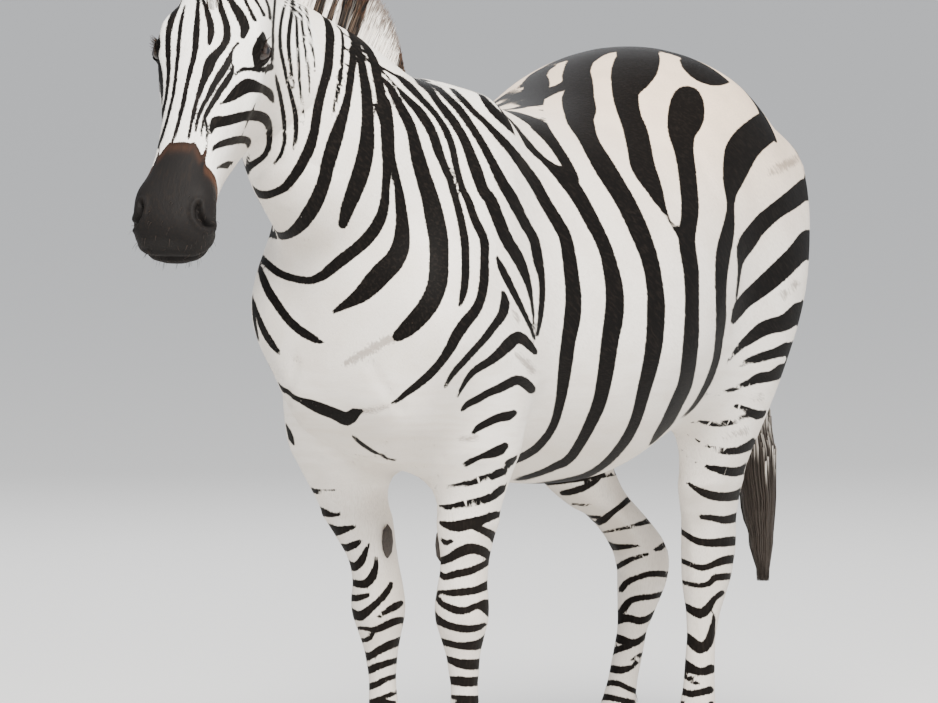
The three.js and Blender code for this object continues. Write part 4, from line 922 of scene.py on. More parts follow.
# out of sight over her back and round her buttock, each stripe goes straight on
INNER_FADE = 0.030  # how much narrower each edge gets as a stripe turns in between her legs
left_side = co[:, 0] > -0.01
well_seen = drawn_on & (facing > 0.22)
over_back = left_side & (normals[:, 2] > 0.25) & (co[:, 2] > 1.12) & (up_neck < 0.12)
over_back &= (co[:, 1] > -0.30) & (co[:, 1] < 0.94)
round_buttock = left_side & (normals[:, 0] > -0.45) & (co[:, 2] > 0.60) & (co[:, 1] > 0.50)
round_buttock &= ~is_dock & ~over_back
for hidden, ease in ((over_back, (0.22, 1.0, 0.4)), (round_buttock, (0.3, 0.3, 1.0))):
    rows = np.nonzero(hidden & ~well_seen)[0]
    inward = ramp(-normals[rows, 0], -0.20, 0.35) * (hidden is round_buttock)
    carried_on = read_marks(co[rows], left_side & well_seen & (co[:, 2] > 0.55), ease)
    mark[rows] = carried_on + INNER_FADE * inward

# her right side carries the left side's stripes
flank_rows = np.nonzero((co[:, 0] < 0) & ~drawn_on & (up_neck < 0.10) & (co[:, 2] > 0.60))[0]
mark[flank_rows] = read_marks(co[flank_rows] * np.array((-1.0, 1.0, 1.0)), left_side & (co[:, 2] > 0.56))
neck_right, neck_left = (side_neck < 0) & (up_neck >= 0.10) & ~is_head, (side_neck > 0) & (co[:, 1] < 0)
head_right, head_left = (side_head < 0) & is_head & ~is_ear, (side_head > 0) & ~is_ear & (up_neck > 0.18)
for hidden, among, origin, way in ((neck_right, neck_left, NECK_ROOT, NECK_SIDE),
                                   (head_right, head_left, POLL, HEAD_SIDE)):
    rows = np.nonzero(hidden & ~drawn_on)[0]
    way = np.array(way)
    other = co[rows] - np.outer(2 * ((co[rows] - np.array(origin)) @ way), way)
    mark[rows] = read_marks(other, among)

# marks carried on out of sight are evened out with their neighbours
EVENED_ROUNDS = 3
EVENED_SHARE = np.where(is_head, 0.25, 0.7)
pairs = edges_of(skin_mesh)
joined = np.maximum(np.bincount(pairs.ravel(), minlength=len(co)), 1)
carried = ~well_seen & (co[:, 2] > 0.60) & ~is_ear
for _ in range(EVENED_ROUNDS):
    total = np.bincount(pairs[:, 0], weights=mark[pairs[:, 1]], minlength=len(co))
    total += np.bincount(pairs[:, 1], weights=mark[pairs[:, 0]], minlength=len(co))
    mark[carried] += (total / joined - mark)[carried] * EVENED_SHARE[carried]

# her dorsal line runs from the withers to the dock
DORSAL_HALF = 0.0085
dorsal = (np.abs(co[:, 0]) < 0.03) & (normals[:, 2] > 0.55) & (co[:, 1] > -0.26) & (co[:, 2] > 1.1)
mark[dorsal] = np.minimum(mark[dorsal], np.abs(co[dorsal, 0]) - DORSAL_HALF)

# along her crest the mane stands in the stripes of the neck's sides
CREST_HALF = 0.040
CREST_LOOK = 0.052  # how far down its side the crest's stripes are read from
crest = (np.abs(side_neck) < CREST_HALF) & (out_neck > 0.045) & (up_neck > 0.03) & ~is_ear
crest &= along_head < -0.09
crest_rows = np.nonzero(crest)[0]
crest_side_way = np.where(side_neck[crest_rows] < 0, -1.0, 1.0)[:, None] * np.array(NECK_SIDE)
crest_reads = co[crest_rows] + crest_side_way * CREST_LOOK - np.array(NECK_OUT) * 0.030
side_rows = np.nonzero(~crest & (co[:, 2] > 1.0) & (co[:, 1] < 0.1))[0]
side_points = tree_over(co[side_rows])
crest_marks = mark[side_rows[[side_points.find(p)[1] for p in crest_reads]]]
under_hair = ramp(np.abs(side_neck[crest_rows]), CREST_HALF, 0.026) > 0.5
mark[crest_rows] = np.where(under_hair, crest_marks, mark[crest_rows])

# the dock of the tail is barred across its back
DOCK_BARS = 0.030
dock = is_dock & (co[:, 1] > 0.955) & (np.abs(co[:, 0]) < 0.030) & (co[:, 2] < 1.16)
bar = 0.0045 - np.abs((co[dock, 2] / DOCK_BARS) % 1.0 - 0.5) * DOCK_BARS
mark[dock] = -bar

# the backs of the ears are dark round the tip and at the root, with a pale point
ear_height = np.zeros(len(co))
ear_depth = np.zeros(len(co))
for side in (1, -1):
    root, axis, mouth, _ = ear_frame(side)
    height, depth = in_frame(co, root, axis, mouth)
    mine = is_ear & (side_head * side > 0)
    ear_height[mine], ear_depth[mine] = height[mine], depth[mine]
outer_ear = is_ear & (ear_depth < 0.004)
EAR_BANDS = ((0.106, 0.154), (0.046, 0.066), (0.018, 0.026))
for low, high in EAR_BANDS:
    band = np.abs(ear_height - (low + high) / 2 - 0.25 * ear_depth) - (high - low) / 2
    mark[outer_ear] = np.minimum(mark[outer_ear], band[outer_ear])

# dark bare skin round each eye, and the dark muzzle with its ragged brown edge
EYE_SKIN = (0.0350, 0.0235)  # half its length and height
MUZZLE_EDGE = [(160, 146), (172, 143), (184, 142), (195, 142), (202, 156), (205, 176), (207, 198), (213, 226)]
for name, eye in eye_middles.items():
    outward, onward, upward = eye_ways[name]
    u, v, w = in_frame(co, eye + onward * 0.003 + upward * 0.006, onward, upward, outward)
    tear = 0.010 * ramp(u, 0.012, 0.040)
    patch = (np.hypot(u / EYE_SKIN[0], (v + tear * 0.6) / (EYE_SKIN[1] - tear)) - 1) * EYE_SKIN[1]
    mark = np.where((w > 0) & (np.hypot(u, v) < 0.07), np.minimum(mark, patch), mark)
MUZZLE_BACK = 0.405  # how far down the head the dark skin starts at her mouth's corners
nose = is_head & (along_head > 0.44)
nose_middle = (out_head[nose].min() + out_head[nose].max()) / 2
rows = []
for x, y in MUZZLE_EDGE:
    place = cast_pixel(x, y)
    if place:
        q = place - POLL
        rows.append((abs(math.atan2(q.dot(HEAD_SIDE), q.dot(HEAD_OUT) - nose_middle)), q.dot(HEAD_ALONG)))
rows.sort()
angle = np.abs(np.arctan2(side_head, out_head - nose_middle))
edge = np.minimum(np.interp(angle, [r[0] for r in rows], [r[1] for r in rows]), MUZZLE_BACK)
muzzle_gap = np.where(is_head & (along_head > 0.25), edge - along_head, 1.0)
mark = np.minimum(mark, np.where(is_head, muzzle_gap, FAR_EDGE))

shade = np.full(len(co), FAR_EDGE)
for points in SMUDGES.values():
    draw(points, shade)
    line = mirrored(lay(points), *MIDDLE)
    if len(line) > 1:
        chosen, gap = gap_to(line, mask=hidden_trunk & ~drawn_on)
        shade[chosen] = np.minimum(shade[chosen], gap)

# ---- Skin: nostrils, mouth and folds ----
# The muzzle is soft bare skin. Comma-shaped nostrils open forward and down in raised rims, and the lips meet
# in a line that turns down at its corners. The loose skin creases at the armpits, elbow, breast, flank and
# jaw.
NOSTRIL = [(199, 204, 4), (197.5, 209, 6), (199, 216, 8), (203, 222, 8), (209, 226, 6), (214, 226, 3)]
NOSTRIL_DEPTH = 0.011
MOUTH_CORNER = 0.452  # down the head
MOUTH_HEIGHT = 0.30  # of the muzzle's depth, from the chin
normals = normals_of(skin_mesh)
lift = np.zeros(len(co))
laid = lay(NOSTRIL)
for line in (laid, mirrored(laid, *HEAD_MIDDLE)):
    if len(line) > 1:
        chosen, gap = gap_to(line, 0.022)
        lift[chosen] -= NOSTRIL_DEPTH * (1 - ramp(gap, -0.0045, 0.0012))
        lift[chosen] += 0.0026 * np.exp(-((gap - 0.0050) / 0.0038) ** 2)
slices = np.linspace(0.40, along_head[is_head].max(), 14)
lows, highs = [], []
for low, high in zip(slices, slices[1:]):
    inside = is_head & (along_head >= low) & (along_head < high + 0.004)
    lows.append(out_head[inside].min())
    highs.append(out_head[inside].max())
slice_middles = (slices[1:] + slices[:-1]) / 2
low_out = np.interp(along_head, slice_middles, lows)
high_out = np.interp(along_head, slice_middles, highs)
mouth_line = low_out + (high_out - low_out) * (MOUTH_HEIGHT - 0.10 * ramp(along_head, 0.50, 0.46))
to_mouth = out_head - mouth_line
lips = is_head * ramp(along_head, MOUTH_CORNER, MOUTH_CORNER + 0.018)
for height, middle, reach in ((-0.0042, 0.0, 0.0026), (0.0022, 0.010, 0.006), (0.0018, -0.011, 0.006)):
    lift += lips * height * np.exp(-((to_mouth - middle) / reach) ** 2)
CREASES = {
    "armpit 1": [(318, 452, 2), (335, 462, 2), (355, 468, 2), (380, 470, 2)],
    "armpit 2": [(312, 464, 2), (330, 475, 2), (352, 481, 2), (378, 482, 2)],
    "armpit 3": [(322, 440, 2), (342, 451, 2), (364, 458, 2), (386, 461, 2)],
    "armpit 4": [(330, 484, 2), (350, 492, 2), (372, 494, 2), (390, 491, 2)],
    "elbow 1": [(413, 440, 2), (420, 452, 2), (430, 464, 2), (436, 478, 2)],
    "elbow 2": [(424, 434, 2), (431, 446, 2), (440, 456, 2), (446, 470, 2)],
    "breast": [(372, 366, 5), (380, 382, 5), (391, 396, 5), (402, 410, 4)],
    "flank": [(699, 156, 2), (704, 168, 3), (709, 178, 3), (714, 189, 2)],
    "jaw": [(249, 180, 3), (258, 174, 3), (268, 168, 3), (280, 161, 2)],
}
for points in CREASES.values():
    line = lay(points)
    if len(line) > 1:
        for found in (line, mirrored(line, *MIDDLE)):
            chosen, gap = gap_to(found, 0.016)
            lift[chosen] -= 0.0022 * np.exp(-(np.maximum(gap, 0) / 0.0055) ** 2)
co += normals * lift[:, None]
put_points(skin_mesh, co)

# ---- Skin: its coat ----
# The pale hair is cream on the back and rump, white on the face and flanks, greyer on the breast and legs
# and greyer towards the underside of the head. Painted shade greys it further wherever the hide faces down,
# most under the belly. The dark hair is a brown black. It lies back along the trunk and down the face, neck
# and legs.
PALE = np.array((0.86, 0.81, 0.745))
CREAM = np.array((0.90, 0.70, 0.52))
# grey of the breast and legs, also used as painted shade under the belly
GREY_AND_SHADE = np.array((0.50, 0.455, 0.40))
FACE_WHITE = np.array((0.90, 0.88, 0.84))
DARK = np.array((0.0026, 0.0021, 0.0018))
DARK_WORN = np.array((0.0075, 0.0055, 0.0042))
BARE = np.array((0.0085, 0.0076, 0.0074))
RUST = np.array((0.060, 0.026, 0.014))
INNER_EAR = np.array((0.56, 0.50, 0.44))
EAR_HOLLOW_SHADE = np.array((0.14, 0.10, 0.08))
# painted shade: the pale tone greys wherever the hide faces down, most under the belly
shadow_of_belly = ramp(-normals[:, 2], 0.15, 0.85)
trunk_part = ~is_head
creamy = ramp(co[:, 2], 0.92, 1.28) * ramp(co[:, 1], -0.25, 0.45) * trunk_part
greyed_and_shaded = np.clip(0.75 * shadow_of_belly + 0.55 * ramp(-co[:, 2], -0.72, -0.40)
                 + 0.55 * ramp(-co[:, 1], 0.34, 0.50) * ramp(-co[:, 2], -1.16, -0.95), 0, 1) * trunk_part
greyed_and_shaded = np.maximum(greyed_and_shaded, is_head * 0.75 * ramp(-out_head, 0.045, 0.125) * ramp(along_head, 0.02, 0.10))
tone = PALE + (CREAM - PALE) * creamy[:, None]
tone = tone + (FACE_WHITE - tone) * (is_head * 0.8)[:, None]
tone = tone + (GREY_AND_SHADE - tone) * greyed_and_shaded[:, None]
dark_tone = DARK + (DARK_WORN - DARK) * (0.5 * is_leg + 0.3 * creamy)[:, None]
bare = ramp(-muzzle_gap, -0.004, 0.012) * is_head
dark_tone = dark_tone + (BARE - dark_tone) * bare[:, None]
rusty = np.exp(-((muzzle_gap + 0.010) / 0.011) ** 2) * is_head * (0.35 + 0.65 * ramp(angle, 0.5, 1.1))
dark_tone = dark_tone + (RUST - dark_tone) * rusty[:, None]
inner_ear = is_ear & ~outer_ear
tone[inner_ear] = INNER_EAR
# painted shade deep in each ear's hollow, darkest towards its root
ear_hollow_shade = inner_ear * ramp(-ear_depth, -0.004, 0.016) * ramp(-ear_height, -0.11, -0.02)
tone = tone + (EAR_HOLLOW_SHADE - tone) * (0.8 * ear_hollow_shade)[:, None]

TRUNK_LIE = Vector((0.0, 0.80, -0.60))
DOWN = Vector((0.0, 0.0, -1.0))
share_head = (is_head * ramp(along_head, -0.05, 0.06))[:, None]
share_neck = (ramp(up_neck, 0.02, 0.16) * (1 - share_head[:, 0]))[:, None]
share_leg = ramp(-co[:, 2], -0.86, -0.62)[:, None]
lie = (1 - share_leg) * np.array(TRUNK_LIE) + share_leg * np.array(DOWN)
lie = lie * (1 - share_neck) + share_neck * np.array((0.10, 0.62, -0.78))
lie = lie * (1 - share_head) + share_head * np.array(HEAD_ALONG)
for side in (1, -1):
    root, axis, _, _ = ear_frame(side)
    lie[is_ear & (side_head * side > 0)] = axis
lie -= normals * np.sum(lie * normals, axis=1)[:, None]
lie /= np.maximum(np.linalg.norm(lie, axis=1), 1e-6)[:, None]


def give(mesh, name, values, kind="FLOAT"):
    """Keeps one value, or one colour, at each point of a mesh."""
    made = mesh.attributes.new(name, kind, "POINT")
    if kind == "FLOAT_COLOR":
        rows = np.ones((len(values), 4))
        rows[:, :3] = values
        made.data.foreach_set("color", rows.ravel())
    elif kind == "FLOAT_VECTOR":
        made.data.foreach_set("vector", np.asarray(values, float).ravel())
    else:
        made.data.foreach_set("value", np.asarray(values, float).ravel())


# the lie as a place to read grain from: slow along the hair and quick across it
comb = np.stack([co[:, 0], co @ np.array((0.0, 0.60, 0.80)), co @ np.array(TRUNK_LIE)], axis=1)
head_comb = np.stack([side_head, out_head, along_head], axis=1)
comb = comb * (1 - share_leg) + co * share_leg
comb = comb * (1 - share_head) + head_comb * share_head
give(skin_mesh, "mark", mark)
give(skin_mesh, "shade", shade)
give(skin_mesh, "bare", bare)
give(skin_mesh, "tone", tone, "FLOAT_COLOR")
give(skin_mesh, "dark_tone", dark_tone, "FLOAT_COLOR")
give(skin_mesh, "comb", comb, "FLOAT_VECTOR")


def material_of(name):
    made = bpy.data.materials.new(name)
    made.use_nodes = True
    return made, made.node_tree.nodes, made.node_tree.links


def read_attribute(nodes_in, name):
    found = nodes_in.new("ShaderNodeAttribute")
    found.attribute_name = name
    return found


def noise_on(nodes_in, links_in, place, stretch, scale, detail=2.0):
    """Noise read from a place that is stretched first, so that its grain lies one way."""
    turn = nodes_in.new("ShaderNodeMapping")
    turn.inputs["Scale"].default_value = stretch
    links_in.new(place, turn.inputs["Vector"])
    grain = nodes_in.new("ShaderNodeTexNoise")
    grain.inputs["Scale"].default_value = scale
    grain.inputs["Detail"].default_value = detail
    links_in.new(turn.outputs["Vector"], grain.inputs["Vector"])
    return grain.outputs["Fac"]


def stepped(nodes_in, links_in, value, low, high, from_low=0.0, to_high=1.0):
    """A value spread from one range to another, smoothly and no further."""
    spread = nodes_in.new("ShaderNodeMapRange")
    spread.interpolation_type = "SMOOTHSTEP"
    spread.inputs["From Min"].default_value = low
    spread.inputs["From Max"].default_value = high
    spread.inputs["To Min"].default_value = from_low
    spread.inputs["To Max"].default_value = to_high
    links_in.new(value, spread.inputs["Value"])
    return spread.outputs["Result"]


def sum_of(nodes_in, links_in, first, second, times=1.0):
    """first * times + second."""
    step = nodes_in.new("ShaderNodeMath")
    step.operation = "MULTIPLY_ADD"
    links_in.new(first, step.inputs[0])
    step.inputs[1].default_value = times
    links_in.new(second, step.inputs[2])
    return step.outputs[0]


def mixed(nodes_in, links_in, factor, first, second):
    """One colour turning to another by a factor, each linked in or given as it is."""
    blend = nodes_in.new("ShaderNodeMix")
    blend.data_type = "RGBA"
    for value, socket in ((factor, 0), (first, 6), (second, 7)):
        if isinstance(value, tuple):
            blend.inputs[socket].default_value = value
        else:
            links_in.new(value, blend.inputs[socket])
    return blend.outputs[2]


def raised(nodes_in, links_in, shader, height, strength, distance):
    """Bumps a shader's surface by a height."""
    relief = nodes_in.new("ShaderNodeBump")
    relief.inputs["Strength"].default_value = strength
    relief.inputs["Distance"].default_value = distance
    links_in.new(height, relief.inputs["Height"])
    links_in.new(relief.outputs["Normal"], shader.inputs["Normal"])


coat, coat_nodes, coat_links = material_of("striped coat")
comb_place = read_attribute(coat_nodes, "comb").outputs["Vector"]
fine_hair = noise_on(coat_nodes, coat_links, comb_place, (900, 900, 90), 1.0, 3.0)
lock_hair = noise_on(coat_nodes, coat_links, comb_place, (240, 240, 45), 1.0, 2.0)
wide_hair = noise_on(coat_nodes, coat_links, comb_place, (16, 16, 9), 1.0, 3.0)
edge_read = read_attribute(coat_nodes, "mark").outputs["Fac"]
ragged = sum_of(coat_nodes, coat_links, fine_hair, edge_read, 0.0036)
ragged = sum_of(coat_nodes, coat_links, lock_hair, ragged, 0.0024)
pale_share = stepped(coat_nodes, coat_links, ragged, 0.0021, 0.0039)
shade_read = read_attribute(coat_nodes, "shade").outputs["Fac"]
speckle = sum_of(coat_nodes, coat_links, lock_hair, shade_read, 0.020)
smudge = stepped(coat_nodes, coat_links, speckle, 0.0060, 0.0135, 0.55, 0.0)
pale = read_attribute(coat_nodes, "tone").outputs["Color"]
pale = mixed(coat_nodes, coat_links, stepped(coat_nodes, coat_links, wide_hair, 0.38, 0.72, 0.0, 0.20), pale,
             (0.48, 0.38, 0.29, 1))
pale = mixed(coat_nodes, coat_links, stepped(coat_nodes, coat_links, fine_hair, 0.30, 0.62, 0.34, 0.0), pale,
             (0.42, 0.36, 0.30, 1))
pale = mixed(coat_nodes, coat_links, smudge, pale, (0.085, 0.055, 0.040, 1))
dark = read_attribute(coat_nodes, "dark_tone").outputs["Color"]
dark = mixed(coat_nodes, coat_links, stepped(coat_nodes, coat_links, lock_hair, 0.45, 0.75, 0.0, 0.5), dark,
             (0.014, 0.0105, 0.0085, 1))
coat_shader = coat_nodes["Principled BSDF"]
coat_links.new(mixed(coat_nodes, coat_links, pale_share, dark, pale), coat_shader.inputs["Base Color"])
coat_shader.inputs["Roughness"].default_value = 0.62
coat_shader.inputs["Specular IOR Level"].default_value = 0.07
nap = sum_of(coat_nodes, coat_links, fine_hair, lock_hair, 0.7)
raised(coat_nodes, coat_links, coat_shader, nap, 0.42, 0.0012)
skin_mesh.materials.append(coat)

# an unwrap of the hide, which every lock of hair reads its colour's place from
bpy.context.view_layer.objects.active = skin
skin.select_set(True)
skin_mesh.uv_layers.new(name="OFBake")
bpy.ops.object.mode_set(mode="EDIT")
bpy.ops.mesh.select_all(action="SELECT")
bpy.ops.uv.smart_project(angle_limit=1.15, island_margin=0.002)
bpy.ops.object.mode_set(mode="OBJECT")
skin.select_set(False)
corner_points = np.empty(len(skin_mesh.loops), np.int32)
skin_mesh.loops.foreach_get("vertex_index", corner_points)
corner_places = np.empty(len(skin_mesh.loops) * 2)
skin_mesh.uv_layers["OFBake"].data.foreach_get("uv", corner_places)
unwrap = np.zeros((len(co), 2))
unwrap[corner_points] = corner_places.reshape(-1, 2)

for name in UPPER_NODES + LEG_NODES:
    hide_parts(name)
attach(skin, "root")

# ---- Eyes ----
# Large wet globes, nearly black, with a brown iris round a level oval pupil. They are set in the sides of the
# skull, and the lids hold them.
PUPIL = (0.0078, 0.0042)  # half its length and height
IRIS = 0.0125
eye_material, eye_nodes_in, eye_links = material_of("wet dark eye")
pupil_gap = read_attribute(eye_nodes_in, "pupil").outputs["Fac"]
pupil_share = stepped(eye_nodes_in, eye_links, pupil_gap, 0.85, 1.1)
iris_gap = read_attribute(eye_nodes_in, "iris").outputs["Fac"]
iris_share = stepped(eye_nodes_in, eye_links, iris_gap, 0.9, 1.08)
iris_place = read_attribute(eye_nodes_in, "spokes").outputs["Vector"]
iris_grain = noise_on(eye_nodes_in, eye_links, iris_place, (5, 5, 0.5), 1.0, 3.0)
iris_colour = mixed(eye_nodes_in, eye_links, iris_grain,
                    (0.004, 0.002, 0.0015, 1), (0.022, 0.010, 0.005, 1))
globe = mixed(eye_nodes_in, eye_links, pupil_share, (0.002, 0.002, 0.003, 1), iris_colour)
globe = mixed(eye_nodes_in, eye_links, iris_share, globe, (0.012, 0.008, 0.007, 1))
eye_shader = eye_nodes_in["Principled BSDF"]
eye_links.new(globe, eye_shader.inputs["Base Color"])
eye_shader.inputs["Roughness"].default_value = 0.06
eye_shader.inputs["Specular IOR Level"].default_value = 0.42
for name, eye in eye_middles.items():
    outward, onward, upward = eye_ways[name]
    ball = bmesh.new()
    bmesh.ops.create_uvsphere(ball, u_segments=56, v_segments=40, radius=EYE_RADIUS - 0.0004)
    turn = outward.to_track_quat("Z", "Y").to_matrix()
    bmesh.ops.rotate(ball, verts=ball.verts, cent=(0, 0, 0), matrix=turn)
    bmesh.ops.translate(ball, verts=ball.verts, vec=eye)
    eyeball = object_of(ball, name.replace("_", "_globe_"))
    shade_smoothly(eyeball.data)
    u, v, w = in_frame(rows_of(eyeball.data), eye, onward, upward, outward)
    behind = np.where(w > 0, 0, 9)
    give(eyeball.data, "pupil", np.hypot(u / PUPIL[0], v / PUPIL[1]) + behind)
    give(eyeball.data, "iris", np.hypot(u, v) / IRIS + behind)
    give(eyeball.data, "spokes", np.stack([u, v, w], axis=1) / np.maximum(np.hypot(u, v), 1e-4)[:, None],
         "FLOAT_VECTOR")
    eyeball.data.materials.append(eye_material)
    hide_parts(name)
    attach(eyeball, "root")

# ---- Hooves ----
# Narrow upright horn, ringed by its growth and marked by soil. The four are one piece, and each is fixed
# round the end of its pastern, under the coronet's hair.
hoof_nodes = [f"{end}_{side}_hoof" for end in ("fore", "hind") for side in ("left", "right")]
hooves = object_of(cast_over(hoof_nodes, 0.0030, []), "hooves")
hoof_points = rows_of(hooves.data)
hoof_points = smoothed(hoof_points, edges_of(hooves.data), np.full(len(hoof_points), 0.6), 10)
rings = 0.00035 * np.sin(hoof_points[:, 2] * 2 * np.pi / 0.0065)
hoof_normals = normals_of(hooves.data)
hoof_points += hoof_normals * (rings - 0.0008)[:, None] * (1 - np.abs(hoof_normals[:, 2:3]))
put_points(hooves.data, hoof_points)
shade_smoothly(hooves.data)
horn, horn_nodes, horn_links = material_of("ringed horn")
horn_place = horn_nodes.new("ShaderNodeTexCoord").outputs["Object"]
growth = noise_on(horn_nodes, horn_links, horn_place, (12, 12, 260), 1.0, 3.0)
fibre = noise_on(horn_nodes, horn_links, horn_place, (700, 700, 40), 1.0, 2.0)
soil = noise_on(horn_nodes, horn_links, horn_place, (40, 40, 40), 1.0, 4.0)
horn_colour = mixed(horn_nodes, horn_links, growth, (0.040, 0.033, 0.029, 1), (0.105, 0.088, 0.073, 1))
horn_colour = mixed(horn_nodes, horn_links, stepped(horn_nodes, horn_links, soil, 0.45, 0.75, 0.0, 0.6),
                    horn_colour, (0.17, 0.145, 0.115, 1))
horn_shader = horn_nodes["Principled BSDF"]
horn_links.new(horn_colour, horn_shader.inputs["Base Color"])
horn_shader.inputs["Roughness"].default_value = 0.52
raised(horn_nodes, horn_links, horn_shader, sum_of(horn_nodes, horn_links, fibre, growth, 0.5), 0.35, 0.0010)
hooves.data.materials.append(horn)
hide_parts(*hoof_nodes)
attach(hooves, "root")

# ---- Chestnuts ----
# A flat oval of rough bare callus, grown on the inner side of each forearm. The shapes are the frame's own,
# with their own material.
callus, callus_nodes, callus_links = material_of("rough callus")
callus_place = callus_nodes.new("ShaderNodeTexCoord").outputs["Object"]
crust = noise_on(callus_nodes, callus_links, callus_place, (1, 1, 0.5), 420, 5.0)
callus_shader = callus_nodes["Principled BSDF"]
callus_links.new(mixed(callus_nodes, callus_links, crust, (0.016, 0.013, 0.012, 1), (0.060, 0.048, 0.040, 1)),
                 callus_shader.inputs["Base Color"])
callus_shader.inputs["Roughness"].default_value = 0.85
raised(callus_nodes, callus_links, callus_shader, crust, 0.8, 0.002)
for name in ("chestnut_left", "chestnut_right"):
    nodes[name].material_slots[0].material = callus

# ---- Mane and forelock ----
# Stiff upright hair from the withers over the poll to the forehead. It carries the neck's stripes, and its
# tips are a rusty dark brown. Each lock is a thin blade tapering to a closed point.
dice = np.random.default_rng(7)


def lock_shape(rings):
    """A blade one high on a square root: its points, and its four-sided faces."""
    shape = bmesh.new()
    bmesh.ops.create_cone(shape, cap_ends=True, segments=4, radius1=1.0, radius2=0.04, depth=1.0)
    bmesh.ops.translate(shape, verts=shape.verts, vec=(0, 0, 0.5))
    for i in range(1, rings):
        bmesh.ops.bisect_plane(shape, geom=shape.verts[:] + shape.edges[:] + shape.faces[:], dist=1e-6,
                               plane_co=(0, 0, i / rings), plane_no=(0, 0, 1))
    shape.verts.index_update()
    points = np.array([v.co for v in shape.verts])
    faces = np.array([[v.index for v in f.verts] for f in shape.faces])
    shape.free()
    return points, faces


def unit(rows):
    return rows / np.maximum(np.linalg.norm(rows, axis=1), 1e-9)[:, None]


def bent(roots, first, last, length, rings):
    """The middles of locks that leave their roots one way and end another."""
    s = np.linspace(0, 1, rings + 1)[None, :, None]
    way = first[:, None] * (s - s * s / 2) + last[:, None] * s * s / 2
    return roots[:, None] + length[:, None, None] * way


def grow(name, middles, across, width, thick, near, hair, nodes_replaced=()):
    """One mesh of many locks, coloured by the skin's point near each root."""
    rings = middles.shape[1] - 1
    points, faces = lock_shape(rings)
    height = points[:, 2]
    level = np.rint(height * rings).astype(int)
    full = ((1 - height) ** 0.55 * 0.96 + 0.04) / (1 - 0.96 * height)
    across = unit(across)
    thin = unit(np.cross(middles[:, -1] - middles[:, 0], across))
    placed = middles[:, level] + across[:, None] * (points[:, 0] * full * width[:, None] / 2)[..., None]
    placed = placed + thin[:, None] * (points[:, 1] * full * thick[:, None] / 2)[..., None]
    count = len(middles)
    mesh = bpy.data.meshes.new(name)
    mesh.from_pydata(placed.reshape(-1, 3).tolist(), [],
                     (faces[None] + np.arange(count)[:, None, None] * len(points)).reshape(-1, 4).tolist())
    shade_smoothly(mesh)
    give(mesh, "height", np.tile(height, count))
    give(mesh, "grain", np.repeat(dice.random(count), len(points)))
    give(mesh, "mark", np.repeat(mark[near], len(points)))
    give(mesh, "tone", np.repeat(tone[near], len(points), axis=0), "FLOAT_COLOR")
    give(mesh, "dark_tone", np.repeat(dark_tone[near], len(points), axis=0), "FLOAT_COLOR")
    patch = np.stack([points[:, 0] * 0.0015, (height - 0.5) * 0.003], axis=1)
    places = (unwrap[near][:, None] + patch[None]).reshape(-1, 2)
    corners = np.empty(len(mesh.loops), np.int32)
    mesh.loops.foreach_get("vertex_index", corners)
    mesh.uv_layers.new(name="OFBake").data.foreach_set("uv", places[corners].ravel())
    mesh.materials.append(hair)
    made = bpy.data.objects.new(name, mesh)
    bpy.context.scene.collection.objects.link(made)
    if nodes_replaced:
        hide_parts(*nodes_replaced)
    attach(made, "root")
    return made


def hair_material(name, tip, tip_from, tip_share, roughness=0.55):
    """Hair striped as the skin under it, turning to its tip's colour."""
    made, inside, links_in = material_of(name)
    grain = read_attribute(inside, "grain").outputs["Fac"]
    high = read_attribute(inside, "height").outputs["Fac"]
    pale_here = stepped(inside, links_in, read_attribute(inside, "mark").outputs["Fac"], -0.0012, 0.0012)
    colour = mixed(inside, links_in, pale_here, read_attribute(inside, "dark_tone").outputs["Color"],
                   read_attribute(inside, "tone").outputs["Color"])
    colour = mixed(inside, links_in, stepped(inside, links_in, grain, 0.2, 1.0, 0.0, 0.38), colour,
                   (0.16, 0.105, 0.070, 1))
    reached = sum_of(inside, links_in, grain, high, 0.16)
    tipped = stepped(inside, links_in, reached, tip_from, tip_from + 0.22, 0.0, tip_share)
    colour = mixed(inside, links_in, tipped, colour, tip)
    shader = inside["Principled BSDF"]
    links_in.new(colour, shader.inputs["Base Color"])
    shader.inputs["Roughness"].default_value = roughness
    shader.inputs["Specular IOR Level"].default_value = 0.15
    return made


skin_points = tree_over(co)


def nearest_points(places):
    return np.array([skin_points.find(p)[1] for p in places])


def scattered(mask, count, spread=0.005):
    """Skin points picked evenly over an area, each moved a little over the surface."""
    area = np.zeros(len(co))
    np.add.at(area, skin_pairs[:, 0], pair_lengths ** 2)
    np.add.at(area, skin_pairs[:, 1], pair_lengths ** 2)
    chance = area * mask
    picked = dice.choice(len(co), count, p=chance / chance.sum())
    moved = co[picked] + dice.normal(0, spread, (count, 3))
    on_skin = np.array([tuple(skin_tree.find_nearest(Vector(p))[0]) for p in moved])
    return on_skin, nearest_points(on_skin)


normals = normals_of(skin_mesh)
skin_tree = BVHTree.FromPolygons(co.tolist(), [tuple(p.vertices) for p in skin_mesh.polygons])
skin_pairs = edges_of(skin_mesh)
pair_lengths = np.linalg.norm(co[skin_pairs[:, 0]] - co[skin_pairs[:, 1]], axis=1)

